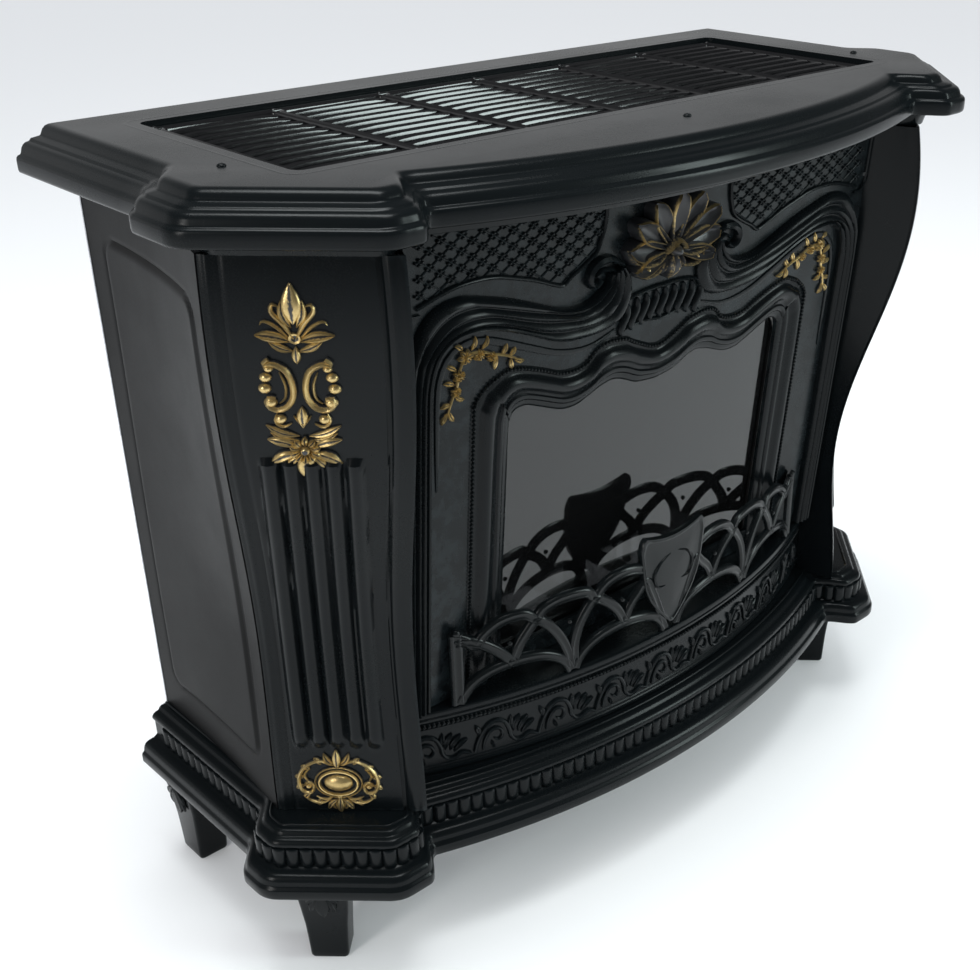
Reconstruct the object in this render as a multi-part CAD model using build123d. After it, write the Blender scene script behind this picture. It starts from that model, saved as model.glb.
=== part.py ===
from build123d import *
from math import cos, pi, radians, sin, sqrt, tan
import os

# Units are millimetres. X runs to the viewer's right, the front faces -Y and Z is up.
# Everything is built with the rear plane of the casing on Y = 0 and moved at the end,
# so that the origin lies on the floor in the middle of the whole heater.

# Heights of the four tiers
FOOT_HEIGHT = 119.0
BASE_HEIGHT = 61.0
BODY_HEIGHT = 562.0
CORNICE_HEIGHT = 53.0
BASE_Z = FOOT_HEIGHT
BODY_Z = BASE_Z + BASE_HEIGHT
CORNICE_Z = BODY_Z + BODY_HEIGHT
TOP_Z = CORNICE_Z + CORNICE_HEIGHT
TIER_GAP = 0.5

# Sheet and plate
SHEET = 2.0
SHELL = 3.0
FIT = 0.4

# Cornice outline at its lip, seen from above
CORNICE_SIDE = 464.0
CORNICE_CANT = 786.0
CORNICE_BLOCK_FRONT = 412.0
CORNICE_BOW_REACH = 442.0

# Base outline at its lip
BASE_SIDE = 452.0
BASE_CANT = 749.0
BASE_BLOCK_FRONT = 369.0
BASE_BOW_REACH = 398.0

# Corner blocks and bow shared by both outlines
BLOCK_PROUD = 22.0
BLOCK_START = 207.0
BLOCK_SWING = 38.0
BLOCK_INNER = 346.0
BLOCK_INNER_SWING = 30.0
BOW_RADIUS = 890.0

# Body casing
BODY_SIDE = 415.0
CANT_REAR_X = 424.0
CANT_REAR_Y = 232.0
CANT_FRONT_X = 322.0
CANT_FRONT_Y = 334.0
WAIST_Z = 345.0
BELLY_Z = 670.0
WAIST_INSET = -6.0
SWELL = 61.0
FOOT_FLARE = 12.0
BODY_LEVELS = 13
COLUMN_FLANGE = 14.0

# Leaning front plate
FRONT_HALF = 316.0
FRONT_FOOT_Y = 290.0
FRONT_LEAN = 5.03
FRONT_SEAT = 1.2
FRONT_PLATE = 4.0

# Window in the front plate
WINDOW_HALF = 193.0
WINDOW_SILL_Z = 282.0
WINDOW_SHOULDER_Z = 530.0
WINDOW_PEAK_Z = 555.0
WINDOW_DIP_Z = 537.0
WINDOW_MIDDLE_DROP = 6.0
WINDOW_FRAME_WIDTH = 40.0
WINDOW_FRAME_RISE = 7.0
GLASS_THICK = 4.0
GLASS_LAP = 14.0
GASKET_THICK = 3.0
GASKET_WIDTH = 9.0
RETAINER_THICK = 2.0

# Scroll moulding and trellis fields on the front plate
SCROLL_OUTER = 310.0
SCROLL_WIDTH = 24.0
SCROLL_RISE = 10.0
TRELLIS_RISE = 3.0

# Ledge, apron and fence
LEDGE_HALF = 314.0
LEDGE_REACH = 360.0
LEDGE_RADIUS = 757.0
LEDGE_THICK = 12.0
LEDGE_TOP_Z = 258.0
APRON_SET_BACK = 4.0
APRON_THICK = 2.5
APRON_GAP = 2.5
FENCE_HALF = 262.0
FENCE_REACH = 357.0
FENCE_THICK = 4.0
FENCE_END_HEIGHT = 84.0
FENCE_STEP = 4.0
FENCE_CELLS = 3
FENCE_BAR = 8.0
SHIELD_HALF = 43.0
SHIELD_HEIGHT = 120.0

# Top grille
GRILLE_LENGTH = 744.0
GRILLE_DEPTH = 243.0
GRILLE_CENTRE_Y = 172.0
GRILLE_THICK = 9.0
GRILLE_SECTIONS = 6
GRILLE_SLATS = 11
GRILLE_BAR = 9.0
GRILLE_SLAT = 6.5
GRILLE_CORNER = 10.0
GRILLE_SUNK = 5.0
GRILLE_SEAT = 12.0
GRILLE_GAP = 2.0

# Firebox and flue
FIREBOX_HALF = 222.0
FIREBOX_BOTTOM_Z = 266.0
FIREBOX_TOP_Z = 590.0
FIREBOX_REAR = 110.0
FIREBOX_WALL = 2.0
FLUE_SLOT_LENGTH = 260.0
FLUE_SLOT_DEPTH = 60.0
FLUE_BOX_HALF = 160.0
FLUE_BOX_HEIGHT = 120.0
FLUE_BOX_DEPTH = 105.0
FLUE_BOX_FRONT = 190.0
COLLAR_RADIUS = 65.0
COLLAR_WALL = 2.0
COLLAR_STEP = 0.7
COLLAR_REACH = 40.0
COLLAR_CLEAR = 3.0
COLLAR_FLANGE = 14.0

# Burner and its controls
BURNER_LENGTH = 320.0
BURNER_RADIUS = 16.0
BURNER_Y = 205.0
BURNER_Z = 318.0
BURNER_PORTS = 24
BURNER_PORT_RADIUS = 1.6
MIXER_RADIUS = 13.0
MIXER_BORE = 10.0
SHUTTER_WALL = 2.0
SHUTTER_LENGTH = 16.0
SHUTTER_FIT = 0.08
INJECTOR_RADIUS = 6.0
PIPE_RADIUS = 4.0
INLET_RADIUS = 10.5
INLET_LENGTH = 34.0
INLET_WALL = 3.0
INLET_STEP = 1.4
VALVE_X = 120.0
VALVE_Z = 212.0
VALVE_SIZE = 44.0
VALVE_LENGTH = 62.0
VALVE_FRONT = 292.0
VALVE_BORE = 9.0
PLUG_FIT = 0.08
SPINDLE_RADIUS = 3.5
SPINDLE_FIT = 0.06
SPINDLE_KEY = 2.2
KNOB_RADIUS = 17.0
KNOB_LENGTH = 18.0
KNOB_PUSH = 4.0
KNOB_GRIP = 8.0
IGNITER_X = 190.0
IGNITER_RADIUS = 9.0
IGNITER_LENGTH = 46.0
BUTTON_RADIUS = 7.0
BUTTON_TRAVEL = 6.0
BUTTON_FIT = 0.08

# Feet and fasteners
FOOT_TOP_WIDTH = 60.0
FOOT_BOTTOM_WIDTH = 38.0
FOOT_TOP_DEPTH = 52.0
FOOT_BOTTOM_DEPTH = 34.0
FRONT_FOOT_X = 398.0
FRONT_FOOT_Y_AT = 262.0
REAR_FOOT_X = 412.0
REAR_FOOT_Y_AT = 34.0
SCREW_RADIUS = 2.0
SCREW_HEAD_RADIUS = 4.0
SCREW_HEAD_RISE = 2.0

# Moulding profiles, as inset from the lip and height
BASE_PROFILE = [(0, BASE_Z), (0, BASE_Z + 12), (3, BASE_Z + 19), (9, BASE_Z + 24), (20, BASE_Z + 27),
                (20, BASE_Z + 47), (24, BASE_Z + 53), (32, BASE_Z + 57), (36, BODY_Z)]
LIP_Z = CORNICE_Z + 15.5
CORNICE_PROFILE = [(40, CORNICE_Z), (34, LIP_Z), (0, LIP_Z), (0, LIP_Z + 14), (3, LIP_Z + 16),
                   (8, LIP_Z + 17), (11, LIP_Z + 24), (16, LIP_Z + 26), (25, LIP_Z + 29),
                   (29, LIP_Z + 35), (34, TOP_Z)]
GRILLE_BOTTOM_Z = TOP_Z - GRILLE_SUNK - GRILLE_THICK
HOLLOW_INSET = 40.0 + SHELL
INLET_HALF = 300.0
INLET_FRONT_Y = 240.0
INLET_REAR_Y = 60.0

# Flutes of the columns and steps of the side sheets
FLUTES = 5
FLUTE_TOP_Z = 572.0
FLUTE_BOTTOM_Z = 262.0
FLUTE_RISE = 5.0
FLUTE_MARGIN = 0.17
FLUTE_WIDTH = 0.76
FLUTE_LEVELS = 9
FLUTE_SINK = 1.0
SIDE_STEPS = (0.0, 0.35, 0.6, 0.8, 1.0)

# Rear panel and floor pan
LOUVRE_ROWS = 8
LOUVRE_Z = 300.0
LOUVRE_PITCH = 22.0
LOUVRE_SLOT = 7.0
LOUVRE_X = 250.0
LOUVRE_HALF = 90.0
FLUE_Z = FIREBOX_TOP_Z + FLUE_BOX_HEIGHT / 2
INLET_X = -300.0
INLET_Z = 230.0
REAR_SCREW_INSET = 22.0
REAR_SCREW_HEIGHTS = (215, 400, 560, 715)
PAN_SLOTS = 5
PAN_SLOT_PITCH = 100.0
PAN_SLOT_HALF = 35.0
PAN_SLOT_FRONT_Y = 230.0
PAN_SLOT_REAR_Y = 80.0

# Ornaments
SHELL_LOBES = 9
SHELL_LOBE_RADIUS = 12.5
SHELL_CORE_RADIUS = 26.0
SHELL_REACH = 44.0
SHELL_Z = 684.0
SHELL_ORNAMENT_RISE = 16.0
TONGUE_Z = 624.0
TONGUE_RISE = 6.0
SPRAY_X = 243.0
SPRAY_Z = 616.0
SPRAY_RISE = 5.0
ORNAMENT_GAP = 4.0
ORNAMENT_RISE = 2.0
ORNAMENT_HALF = 30.0
ORNAMENT_TOP_Z = 718.0
ORNAMENT_BOTTOM_Z = 556.0
ORNAMENT_WIDTHS = (0.45, 0.95, 1.0, 0.95, 0.95, 0.9, 0.4)
CARTOUCHE_HALF = 42.0
CARTOUCHE_HEIGHT = 50.0
CARTOUCHE_Z = 217.0
CARTOUCHE_RISE = 4.0

# Heights under the burner and small fittings
MIXER_LENGTH = 74.0
MIXER_TOP_Z = BURNER_Z - BURNER_RADIUS + 6
SHUTTER_Z = MIXER_TOP_Z - MIXER_LENGTH + 6
INJECTOR_LENGTH = 26.0
INJECTOR_TOP_Z = SHUTTER_Z - 6
STAND_INSET = 20.0
STAND_FRONT = 235.0
STAND_FLANGE = 18.0
KNOB_FACE_Y = -(VALVE_FRONT + 32.0)
KNOB_GRIP_DEPTH = 10.0
PIPE_BEND = 12.0
PILOT_X = 60.0
TOP_SCREW_INSET = 59.0
TOP_SCREW_Y = -241.0
FRONT_SCREW_INSET = 88.0
PIN_RADIUS = 2.6
PIN_RISE = 1.6
PIN_HEIGHTS = (690, 480, 300)

FRONT_TILT = radians(FRONT_LEAN)
FRONT_BOTTOM_Z = LEDGE_TOP_Z + FRONT_SEAT
REAR_SHIFT = (CORNICE_BOW_REACH - COLLAR_REACH) / 2


# Shape helpers
def swell_at(z):
    """How far the corner columns stand out at a height."""
    if z >= WAIST_Z:
        turn = (z - WAIST_Z) / (BELLY_Z - WAIST_Z)
        return WAIST_INSET + SWELL * (1 - cos(pi * turn)) / 2
    turn = (WAIST_Z - z) / (WAIST_Z - BODY_Z)
    return WAIST_INSET + FOOT_FLARE * (1 - cos(pi * turn)) / 2


def cant_rear(z):
    out = swell_at(z)
    return (CANT_REAR_X + 0.60 * out, -CANT_REAR_Y - 0.75 * out)


def cant_front(z):
    out = swell_at(z)
    return (CANT_FRONT_X + 0.38 * out, -CANT_FRONT_Y - 0.97 * out)


def front_y(z):
    """Y of the front plate's face at a height."""
    return -FRONT_FOOT_Y - (z - BODY_Z) * tan(FRONT_TILT)


def body_heights():
    low = BODY_Z + TIER_GAP
    span = CORNICE_Z - TIER_GAP - low
    return [low + span * i / (BODY_LEVELS - 1) for i in range(BODY_LEVELS)]


def mirror_left(shape):
    return mirror(shape, about=Plane.YZ)


def block(x0, x1, y0, y1, z0, z1):
    """A box between two corners."""
    centre = ((x0 + x1) / 2, (y0 + y1) / 2, (z0 + z1) / 2)
    return Pos(*centre) * Box(abs(x1 - x0), abs(y1 - y0), abs(z1 - z0))


def rod(start, along, radius, length):
    """A round bar from a point along X, Y or Z."""
    plane = Plane(origin=start, z_dir=along)
    return extrude(plane * Circle(radius), length)


def bow_y(x, reach, radius):
    return -reach + radius - sqrt(radius * radius - x * x)


def bowed_strip(half, reach, radius, thick, z0, z1):
    """A curved plate of even thickness along the bow of the front."""
    inner = radius - thick
    centre = radius - reach
    ring = Pos(0, centre, 0) * (Circle(radius) - Circle(inner))
    window = Pos(0, -reach) * Rectangle(2 * half, 2 * reach * 0.5)
    return extrude(Pos(0, 0, z0) * (ring & window), z1 - z0)


def strip_face(points, thick, z):
    """A thin open profile, thickened to its right-hand side, as a flat face."""
    path = [Vector(x, y, 0) for x, y in points]
    normals = []
    for start, end in zip(path, path[1:]):
        step = (end - start).normalized()
        normals.append(Vector(step.Y, -step.X, 0))
    inner = []
    for i, point in enumerate(path):
        before = normals[max(i - 1, 0)]
        after = normals[min(i, len(normals) - 1)]
        middle = (before + after).normalized()
        inner.append(point + middle * (thick / middle.dot(after)))
    outline = [(p.X, p.Y, z) for p in path + inner[::-1]]
    return make_face(Polyline(*outline, close=True))


# Moulded outlines of the base and the cornice
def moulded_face(side, cant, block_front, bow_reach, inset, z):
    """Outline of a moulded tier, drawn in from its lip by an inset."""
    side_x = side - inset
    block_x = side + BLOCK_PROUD - inset
    cant_sum = cant - inset * sqrt(2)
    front = block_front - inset
    radius = BOW_RADIUS - inset
    reach = bow_reach - inset
    inner_x = BLOCK_INNER - BLOCK_INNER_SWING
    bow_end = bow_y(inner_x, reach, radius)
    swing_end = -BLOCK_START - BLOCK_SWING
    swing_mid = ((side_x + block_x) / 2, -BLOCK_START - BLOCK_SWING / 2)
    notch_mid = ((BLOCK_INNER + inner_x) / 2, (bow_end - front) / 2)
    right = [
        Line((side_x, 0), (side_x, -BLOCK_START)),
        Spline((side_x, -BLOCK_START), swing_mid, (block_x, swing_end), tangents=[(0, -1), (0, -1)]),
        Line((block_x, swing_end), (block_x, block_x - cant_sum)),
        Line((block_x, block_x - cant_sum), (cant_sum - front, -front)),
        Line((cant_sum - front, -front), (BLOCK_INNER, -front)),
        Spline((BLOCK_INNER, -front), notch_mid, (inner_x, bow_end), tangents=[(-1, 0), (-1, -0.3)]),
    ]
    bow = ThreePointArc((inner_x, bow_end), (0, -reach), (-inner_x, bow_end))
    left = [mirror(edge, about=Plane.YZ) for edge in right]
    rear = Line((side_x, 0), (-side_x, 0))
    return Pos(0, 0, z) * make_face([*right, bow, *left, rear])


def moulded_stack(side, cant, block_front, bow_reach, profile):
    """Slices between neighbouring outlines, fused into one moulded tier."""
    tier = None
    for (inset, z), (next_inset, next_z) in zip(profile, profile[1:]):
        low = moulded_face(side, cant, block_front, bow_reach, inset, z)
        high = moulded_face(side, cant, block_front, bow_reach, next_inset, next_z)
        if inset == next_inset:
            piece = extrude(low, next_z - z)
        else:
            piece = loft([low, high], ruled=True)
        tier = piece if tier is None else tier + piece
    return tier


FRONT_OF_REAR = block(-CORNICE_SIDE - 50, CORNICE_SIDE + 50, -600, -SHELL, 0, TOP_Z)


# Tiers
def base_plinth():
    args = (BASE_SIDE, BASE_CANT, BASE_BLOCK_FRONT, BASE_BOW_REACH)
    body = moulded_stack(*args, BASE_PROFILE)
    hollow = extrude(moulded_face(*args, HOLLOW_INSET, BASE_Z - 1), BASE_HEIGHT - SHELL + 1) & FRONT_OF_REAR
    inlet = block(-INLET_HALF, INLET_HALF, -INLET_FRONT_Y, -INLET_REAR_Y, BODY_Z - SHELL - 1, BODY_Z + 1)
    return body - hollow - inlet


def top_cover():
    args = (CORNICE_SIDE, CORNICE_CANT, CORNICE_BLOCK_FRONT, CORNICE_BOW_REACH)
    body = moulded_stack(*args, CORNICE_PROFILE)
    roof = GRILLE_BOTTOM_Z - SHELL
    body -= extrude(moulded_face(*args, HOLLOW_INSET, CORNICE_Z - 1), roof - CORNICE_Z + 1) & FRONT_OF_REAR
    seat = RectangleRounded(GRILLE_LENGTH + 2 * GRILLE_GAP, GRILLE_DEPTH + 2 * GRILLE_GAP, GRILLE_CORNER)
    mouth = RectangleRounded(GRILLE_LENGTH - 2 * GRILLE_SEAT, GRILLE_DEPTH - 2 * GRILLE_SEAT, GRILLE_CORNER)
    body -= Pos(0, -GRILLE_CENTRE_Y, GRILLE_BOTTOM_Z) * extrude(seat, TOP_Z - GRILLE_BOTTOM_Z + 1)
    body -= Pos(0, -GRILLE_CENTRE_Y, roof - 1) * extrude(mouth, TOP_Z - roof + 2)
    for x, y in top_screw_spots():
        body -= rod((x, y, TOP_Z + 1), (0, 0, -1), SCREW_RADIUS + FIT, CORNICE_HEIGHT)
    return body


def top_grille():
    plate = RectangleRounded(GRILLE_LENGTH, GRILLE_DEPTH, GRILLE_CORNER)
    cell = (GRILLE_LENGTH - GRILLE_BAR) / GRILLE_SECTIONS
    inner = GRILLE_DEPTH - 2 * GRILLE_BAR
    pitch = (inner + GRILLE_SLAT) / (GRILLE_SLATS + 1)
    slot = Rectangle(cell - GRILLE_BAR, pitch - GRILLE_SLAT)
    plate -= GridLocations(cell, pitch, GRILLE_SECTIONS, GRILLE_SLATS + 1) * slot
    return Pos(0, -GRILLE_CENTRE_Y, GRILLE_BOTTOM_Z) * extrude(plate, GRILLE_THICK)


# Casing
def lofted_strip(outline_at, thick):
    return loft([strip_face(outline_at(z), thick, z) for z in body_heights()], ruled=True)


def column_outline(z):
    rear = cant_rear(z)
    inner = (FRONT_HALF + FIT, front_y(z) + FRONT_PLATE)
    return [(rear[0] - COLUMN_FLANGE, rear[1]), rear, cant_front(z), inner]


def corner_column():
    """One pressed column with its raised flutes."""
    column = lofted_strip(column_outline, SHELL)
    return column + [flute(i) for i in range(FLUTES)]


def flute(index):
    """A raised rib on the cant that follows the column's swell."""
    sections = []
    rise = FLUTE_RISE / sqrt(2)
    sink = FLUTE_SINK / sqrt(2)
    width = (1 - 2 * FLUTE_MARGIN) / FLUTES
    share = FLUTE_MARGIN + width * (index + (1 - FLUTE_WIDTH) / 2)
    for i in range(FLUTE_LEVELS):
        z = FLUTE_BOTTOM_Z + (FLUTE_TOP_Z - FLUTE_BOTTOM_Z) * i / (FLUTE_LEVELS - 1)
        (xr, yr), (xf, yf) = cant_rear(z), cant_front(z)
        shares = (share, share + width * FLUTE_WIDTH)
        ends = [(xr + (xf - xr) * s, yr + (yf - yr) * s) for s in shares]
        (ax, ay), (bx, by) = ends
        mid = ((ax + bx) / 2 + rise, (ay + by) / 2 - rise)
        low = (ax - sink, ay + sink)
        high = (bx - sink, by + sink)
        arc = ThreePointArc((*low, z), (*mid, z), (*high, z))
        sections.append(make_face([arc, Line((*high, z), (*low, z))]))
    return loft(sections, ruled=True)


def side_outline(z):
    """The side sheet runs straight at the rear and flares out to meet the column."""
    x, y = cant_rear(z)
    rear = -SHEET - FIT
    front = y + FIT
    curve = [(BODY_SIDE + (x - BODY_SIDE) * t * t, rear + (front - rear) * t) for t in SIDE_STEPS]
    return [*curve, (x - COLUMN_FLANGE, front)]


def side_panel():
    return lofted_strip(side_outline, SHEET)


def rear_panel():
    half = BODY_SIDE - FIT
    panel = block(-half, half, -SHEET, 0, BODY_Z + TIER_GAP, CORNICE_Z - TIER_GAP)
    for row in range(LOUVRE_ROWS):
        for x in (-LOUVRE_X, LOUVRE_X):
            z = LOUVRE_Z + row * LOUVRE_PITCH
            panel -= block(x - LOUVRE_HALF, x + LOUVRE_HALF, -SHEET - 1, 1, z, z + LOUVRE_SLOT)
    panel -= rod((0, 1, FLUE_Z), (0, -1, 0), COLLAR_RADIUS + COLLAR_CLEAR, SHEET + 2)
    panel -= rod((INLET_X, 1, INLET_Z), (0, -1, 0), INLET_RADIUS + COLLAR_CLEAR, SHEET + 2)
    for x, z in rear_screw_spots():
        panel -= rod((x, 1, z), (0, -1, 0), SCREW_RADIUS + FIT, SHEET + 2)
    return panel


def rear_screw_spots():
    x = BODY_SIDE - REAR_SCREW_INSET
    return [(side * x, z) for side in (-1, 1) for z in REAR_SCREW_HEIGHTS]


def screw(spot, along):
    """A screw whose shank runs along one way and whose domed head stands the other way."""
    back = tuple(-c for c in along)
    head = rod(spot, back, SCREW_HEAD_RADIUS, SCREW_HEAD_RISE)
    return head + rod(spot, along, SCREW_RADIUS, 2 * SCREW_RADIUS + SHEET)


def rear_screws():
    return Compound([screw((x, 0, z), (0, -1, 0)) for x, z in rear_screw_spots()])


def floor_pan():
    z = BODY_Z + TIER_GAP
    inside = FRONT_HALF - SHELL
    pan = block(-inside, inside, -FRONT_FOOT_Y + FRONT_PLATE, -SHEET - FIT, z, z + SHEET)
    for i in range(PAN_SLOTS):
        x = (i - (PAN_SLOTS - 1) / 2) * PAN_SLOT_PITCH
        left, right = x - PAN_SLOT_HALF, x + PAN_SLOT_HALF
        pan -= block(left, right, -PAN_SLOT_FRONT_Y, -PAN_SLOT_REAR_Y, z - 1, z + SHEET + 1)
    return pan


# Front plate
def front_plane():
    """Face of the leaning front plate, with its own Y running up the plate."""
    origin = (0, front_y(BODY_Z), BODY_Z)
    return Plane(origin=origin, x_dir=(1, 0, 0), z_dir=(0, -cos(FRONT_TILT), -sin(FRONT_TILT)))


def up_plate(z):
    return (z - BODY_Z) / cos(FRONT_TILT)


def wave_face(grow):
    """Window outline with its wavy head, grown outward by a margin."""
    half = WINDOW_HALF + grow
    sill = up_plate(WINDOW_SILL_Z - min(grow, WINDOW_SILL_Z - FRONT_BOTTOM_Z))
    shoulder = up_plate(WINDOW_SHOULDER_Z + 0.8 * grow)
    peak = up_plate(WINDOW_PEAK_Z + grow)
    dip = up_plate(WINDOW_DIP_Z + 0.9 * grow)
    corner = 0.9 * WINDOW_HALF + 0.43 * grow
    low_peak, low_dip = peak - WINDOW_MIDDLE_DROP, dip - WINDOW_MIDDLE_DROP / 3
    waves = [(half, shoulder), ((half + corner) / 2 + 4, (shoulder + peak) / 2 + 5), (corner, peak),
             (0.74 * WINDOW_HALF + 0.2 * grow, (peak + dip) / 2), (0.58 * WINDOW_HALF, dip),
             (0.44 * WINDOW_HALF, (dip + low_peak) / 2), (0.3 * WINDOW_HALF, low_peak),
             (0.15 * WINDOW_HALF, (low_peak + low_dip) / 2), (0, low_dip)]
    head = Spline(*waves, *[(-x, y) for x, y in waves[-2::-1]])
    return make_face([Line((half, sill), (half, shoulder)), head, Line((-half, shoulder), (-half, sill)),
                      Line((-half, sill), (half, sill))])


def scroll_face():
    """One right-hand scroll moulding, from the ledge up and round to its curl."""
    outer = SCROLL_OUTER
    inner = outer - SCROLL_WIDTH
    foot = up_plate(FRONT_BOTTOM_Z)
    rise = up_plate(600)
    outside = [(outer, rise), (outer - 2, up_plate(634)), (294, up_plate(660)), (274, up_plate(675)),
               (246, up_plate(679)), (219, up_plate(673)), (172, up_plate(656)), (129, up_plate(642)),
               (100, up_plate(645)), (82, up_plate(656))]
    curl = [(96, up_plate(668)), (82, up_plate(675)), (64, up_plate(669)), (50, up_plate(652)),
            (47, up_plate(632)), (58, up_plate(614)), (82, up_plate(606)), (107, up_plate(607)),
            (145, up_plate(616)), (182, up_plate(632)), (217, up_plate(644)), (245, up_plate(648)),
            (267, up_plate(643)), (281, up_plate(627)), (inner, rise)]
    edges = [Line((outer, foot), (outer, rise)), Spline(*outside), Line(outside[-1], curl[0]), Spline(*curl)]
    edges += [Line((inner, rise), (inner, foot)), Line((inner, foot), (outer, foot))]
    return make_face(edges)


def trellis_face():
    top = up_plate(CORNICE_Z - 3)
    low = [(299, up_plate(678)), (278, up_plate(684)), (236, up_plate(690)), (191, up_plate(684)),
           (140, up_plate(664))]
    rise = [low[-1], (100, up_plate(684)), (86, top)]
    return make_face([Line((299, top), low[0]), Spline(*low), Spline(*rise), Line(rise[-1], (299, top))])


def front_frame():
    """The leaning front plate with its window, mouldings and trellis fields."""
    low, high = up_plate(FRONT_BOTTOM_Z), up_plate(CORNICE_Z - TIER_GAP - 1)
    plate = Pos(0, (low + high) / 2) * Rectangle(2 * FRONT_HALF, high - low)
    face = front_plane()
    frame = extrude(face * (plate - wave_face(0)), -FRONT_PLATE)
    frame += extrude(face * (wave_face(WINDOW_FRAME_WIDTH) - wave_face(0)), WINDOW_FRAME_RISE)
    for field, rise in ((scroll_face(), SCROLL_RISE), (trellis_face(), TRELLIS_RISE)):
        frame += extrude(face * field, rise)
        frame += extrude(face * mirror(field, about=Plane.YZ), rise)
    return frame


def behind(face, depth, thick):
    """A plate a given depth behind the front plate's face."""
    return extrude(front_plane().offset(-depth) * face, -thick)


def window_gasket():
    face = wave_face(GLASS_LAP - 1) - wave_face(GLASS_LAP - 1 - GASKET_WIDTH)
    return behind(face, FRONT_PLATE, GASKET_THICK)


def window_glass():
    return behind(wave_face(GLASS_LAP), FRONT_PLATE + GASKET_THICK, GLASS_THICK)


def window_retainer():
    face = wave_face(GLASS_LAP) - wave_face(2)
    return behind(face, FRONT_PLATE + GASKET_THICK + GLASS_THICK, RETAINER_THICK)


# Ornaments on the front plate
def shell_ornament():
    """A fan of round-ended lobes over a small scroll."""
    fan = Circle(SHELL_CORE_RADIUS)
    for i in range(SHELL_LOBES):
        turn = radians(-18 + 216 * i / (SHELL_LOBES - 1))
        reach = SHELL_REACH + 8 * abs(cos(turn))
        fan += Pos(reach * cos(turn), 0.8 * reach * sin(turn)) * Circle(SHELL_LOBE_RADIUS)
    spot = front_plane() * Pos(0, up_plate(SHELL_Z))
    return extrude(spot * fan, SHELL_ORNAMENT_RISE)


def tongue_ornament():
    y = up_plate(TONGUE_Z)
    right = [(0, y + 18), (40, y + 24), (62, y + 8), (40, y - 12), (0, y - 24)]
    left = [(-x, v) for x, v in right[-2:0:-1]]
    spot = front_plane() * make_face(Spline(*right, *left, periodic=True))
    return extrude(spot, TONGUE_RISE)


def corner_spray():
    """An L-shaped spray of leaves at one top corner of the window."""
    y = up_plate(SPRAY_Z)
    spray = Pos(SPRAY_X, y) * Circle(13)
    for i in range(1, 4):
        spray += Pos(SPRAY_X - 17 * i, y + 2 - 3 * i) * Circle(12 - 1.8 * i)
        spray += Pos(SPRAY_X + 6 * i, y - 14 * i) * Circle(12 - 1.8 * i)
    return extrude(front_plane() * spray, SPRAY_RISE)


def cant_plane(z, share=0.5):
    """A plane on the column's cant at a height, leaning with the swell there."""
    (xr, yr), (xf, yf) = cant_rear(z), cant_front(z)
    lift = swell_at(z + 40) - swell_at(z - 40)
    normal = Vector(80, -80, -lift * 2).normalized()
    spot = Vector(xr + (xf - xr) * share, yr + (yf - yr) * share, z)
    return Plane(origin=spot + normal * ORNAMENT_GAP, x_dir=(-1, -1, 0), z_dir=normal)


def column_ornament(column):
    """Upright leaf and scroll ornament, bent with the column."""
    height = (ORNAMENT_TOP_Z - ORNAMENT_BOTTOM_Z) / len(ORNAMENT_WIDTHS)
    pieces = None
    for i, share in enumerate(ORNAMENT_WIDTHS):
        plane = cant_plane(ORNAMENT_BOTTOM_Z + height * (i + 0.5))
        face = plane * RectangleRounded(2 * ORNAMENT_HALF * share, height * 1.3, height * 0.4)
        pad = extrude(face, -ORNAMENT_GAP - 1) + extrude(face, ORNAMENT_RISE)
        pieces = pad if pieces is None else pieces + pad
    return pieces - grown_column() - column


def cartouche():
    """Oval boss with scrolls near the foot of the column."""
    oval = Ellipse(CARTOUCHE_HALF, CARTOUCHE_HEIGHT / 2)
    boss = Ellipse(CARTOUCHE_HALF / 2, CARTOUCHE_HEIGHT / 5)
    plane = cant_plane(CARTOUCHE_Z)
    plate = extrude(plane * oval, -ORNAMENT_GAP - 1) + extrude(plane * boss, CARTOUCHE_RISE)
    return plate - grown_column()


def grown_column():
    """The solid space behind the column's face, for trimming what is laid on it."""
    faces = []
    for z in body_heights():
        rear, front = cant_rear(z), cant_front(z)
        points = [(*rear, z), (*front, z), (front[0], 0, z), (rear[0] - 20, 0, z)]
        faces.append(make_face(Polyline(*points, close=True)))
    return loft(faces, ruled=True)


# Ledge, apron and fence
def ledge():
    low = LEDGE_TOP_Z - LEDGE_THICK
    shelf = bowed_strip(LEDGE_HALF, LEDGE_REACH, LEDGE_RADIUS, LEDGE_REACH - 300, low, LEDGE_TOP_Z)
    shelf += block(-LEDGE_HALF, LEDGE_HALF, -302, -FRONT_FOOT_Y + 20, low, LEDGE_TOP_Z)
    behind_front = block(-400, 400, front_y(LEDGE_TOP_Z) + 30, 0, BODY_Z, TOP_Z)
    return shelf - behind_front


def access_panel():
    low = BODY_Z + APRON_GAP
    high = LEDGE_TOP_Z - LEDGE_THICK - APRON_GAP
    reach = LEDGE_REACH - APRON_SET_BACK
    return bowed_strip(LEDGE_HALF - APRON_GAP, reach, LEDGE_RADIUS, APRON_THICK, low, high)


def arch_face(centre, foot, half, height):
    """A pointed arch opening standing on a flat sill."""
    left, right, tip = (centre - half, foot), (centre + half, foot), (centre, foot + height)
    bulge = half * 0.28
    rise = ThreePointArc(left, (centre - half / 2 - bulge, foot + height * 0.62), tip)
    fall = ThreePointArc(tip, (centre + half / 2 + bulge, foot + height * 0.62), right)
    return make_face([rise, fall, Line(right, left)])


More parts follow.
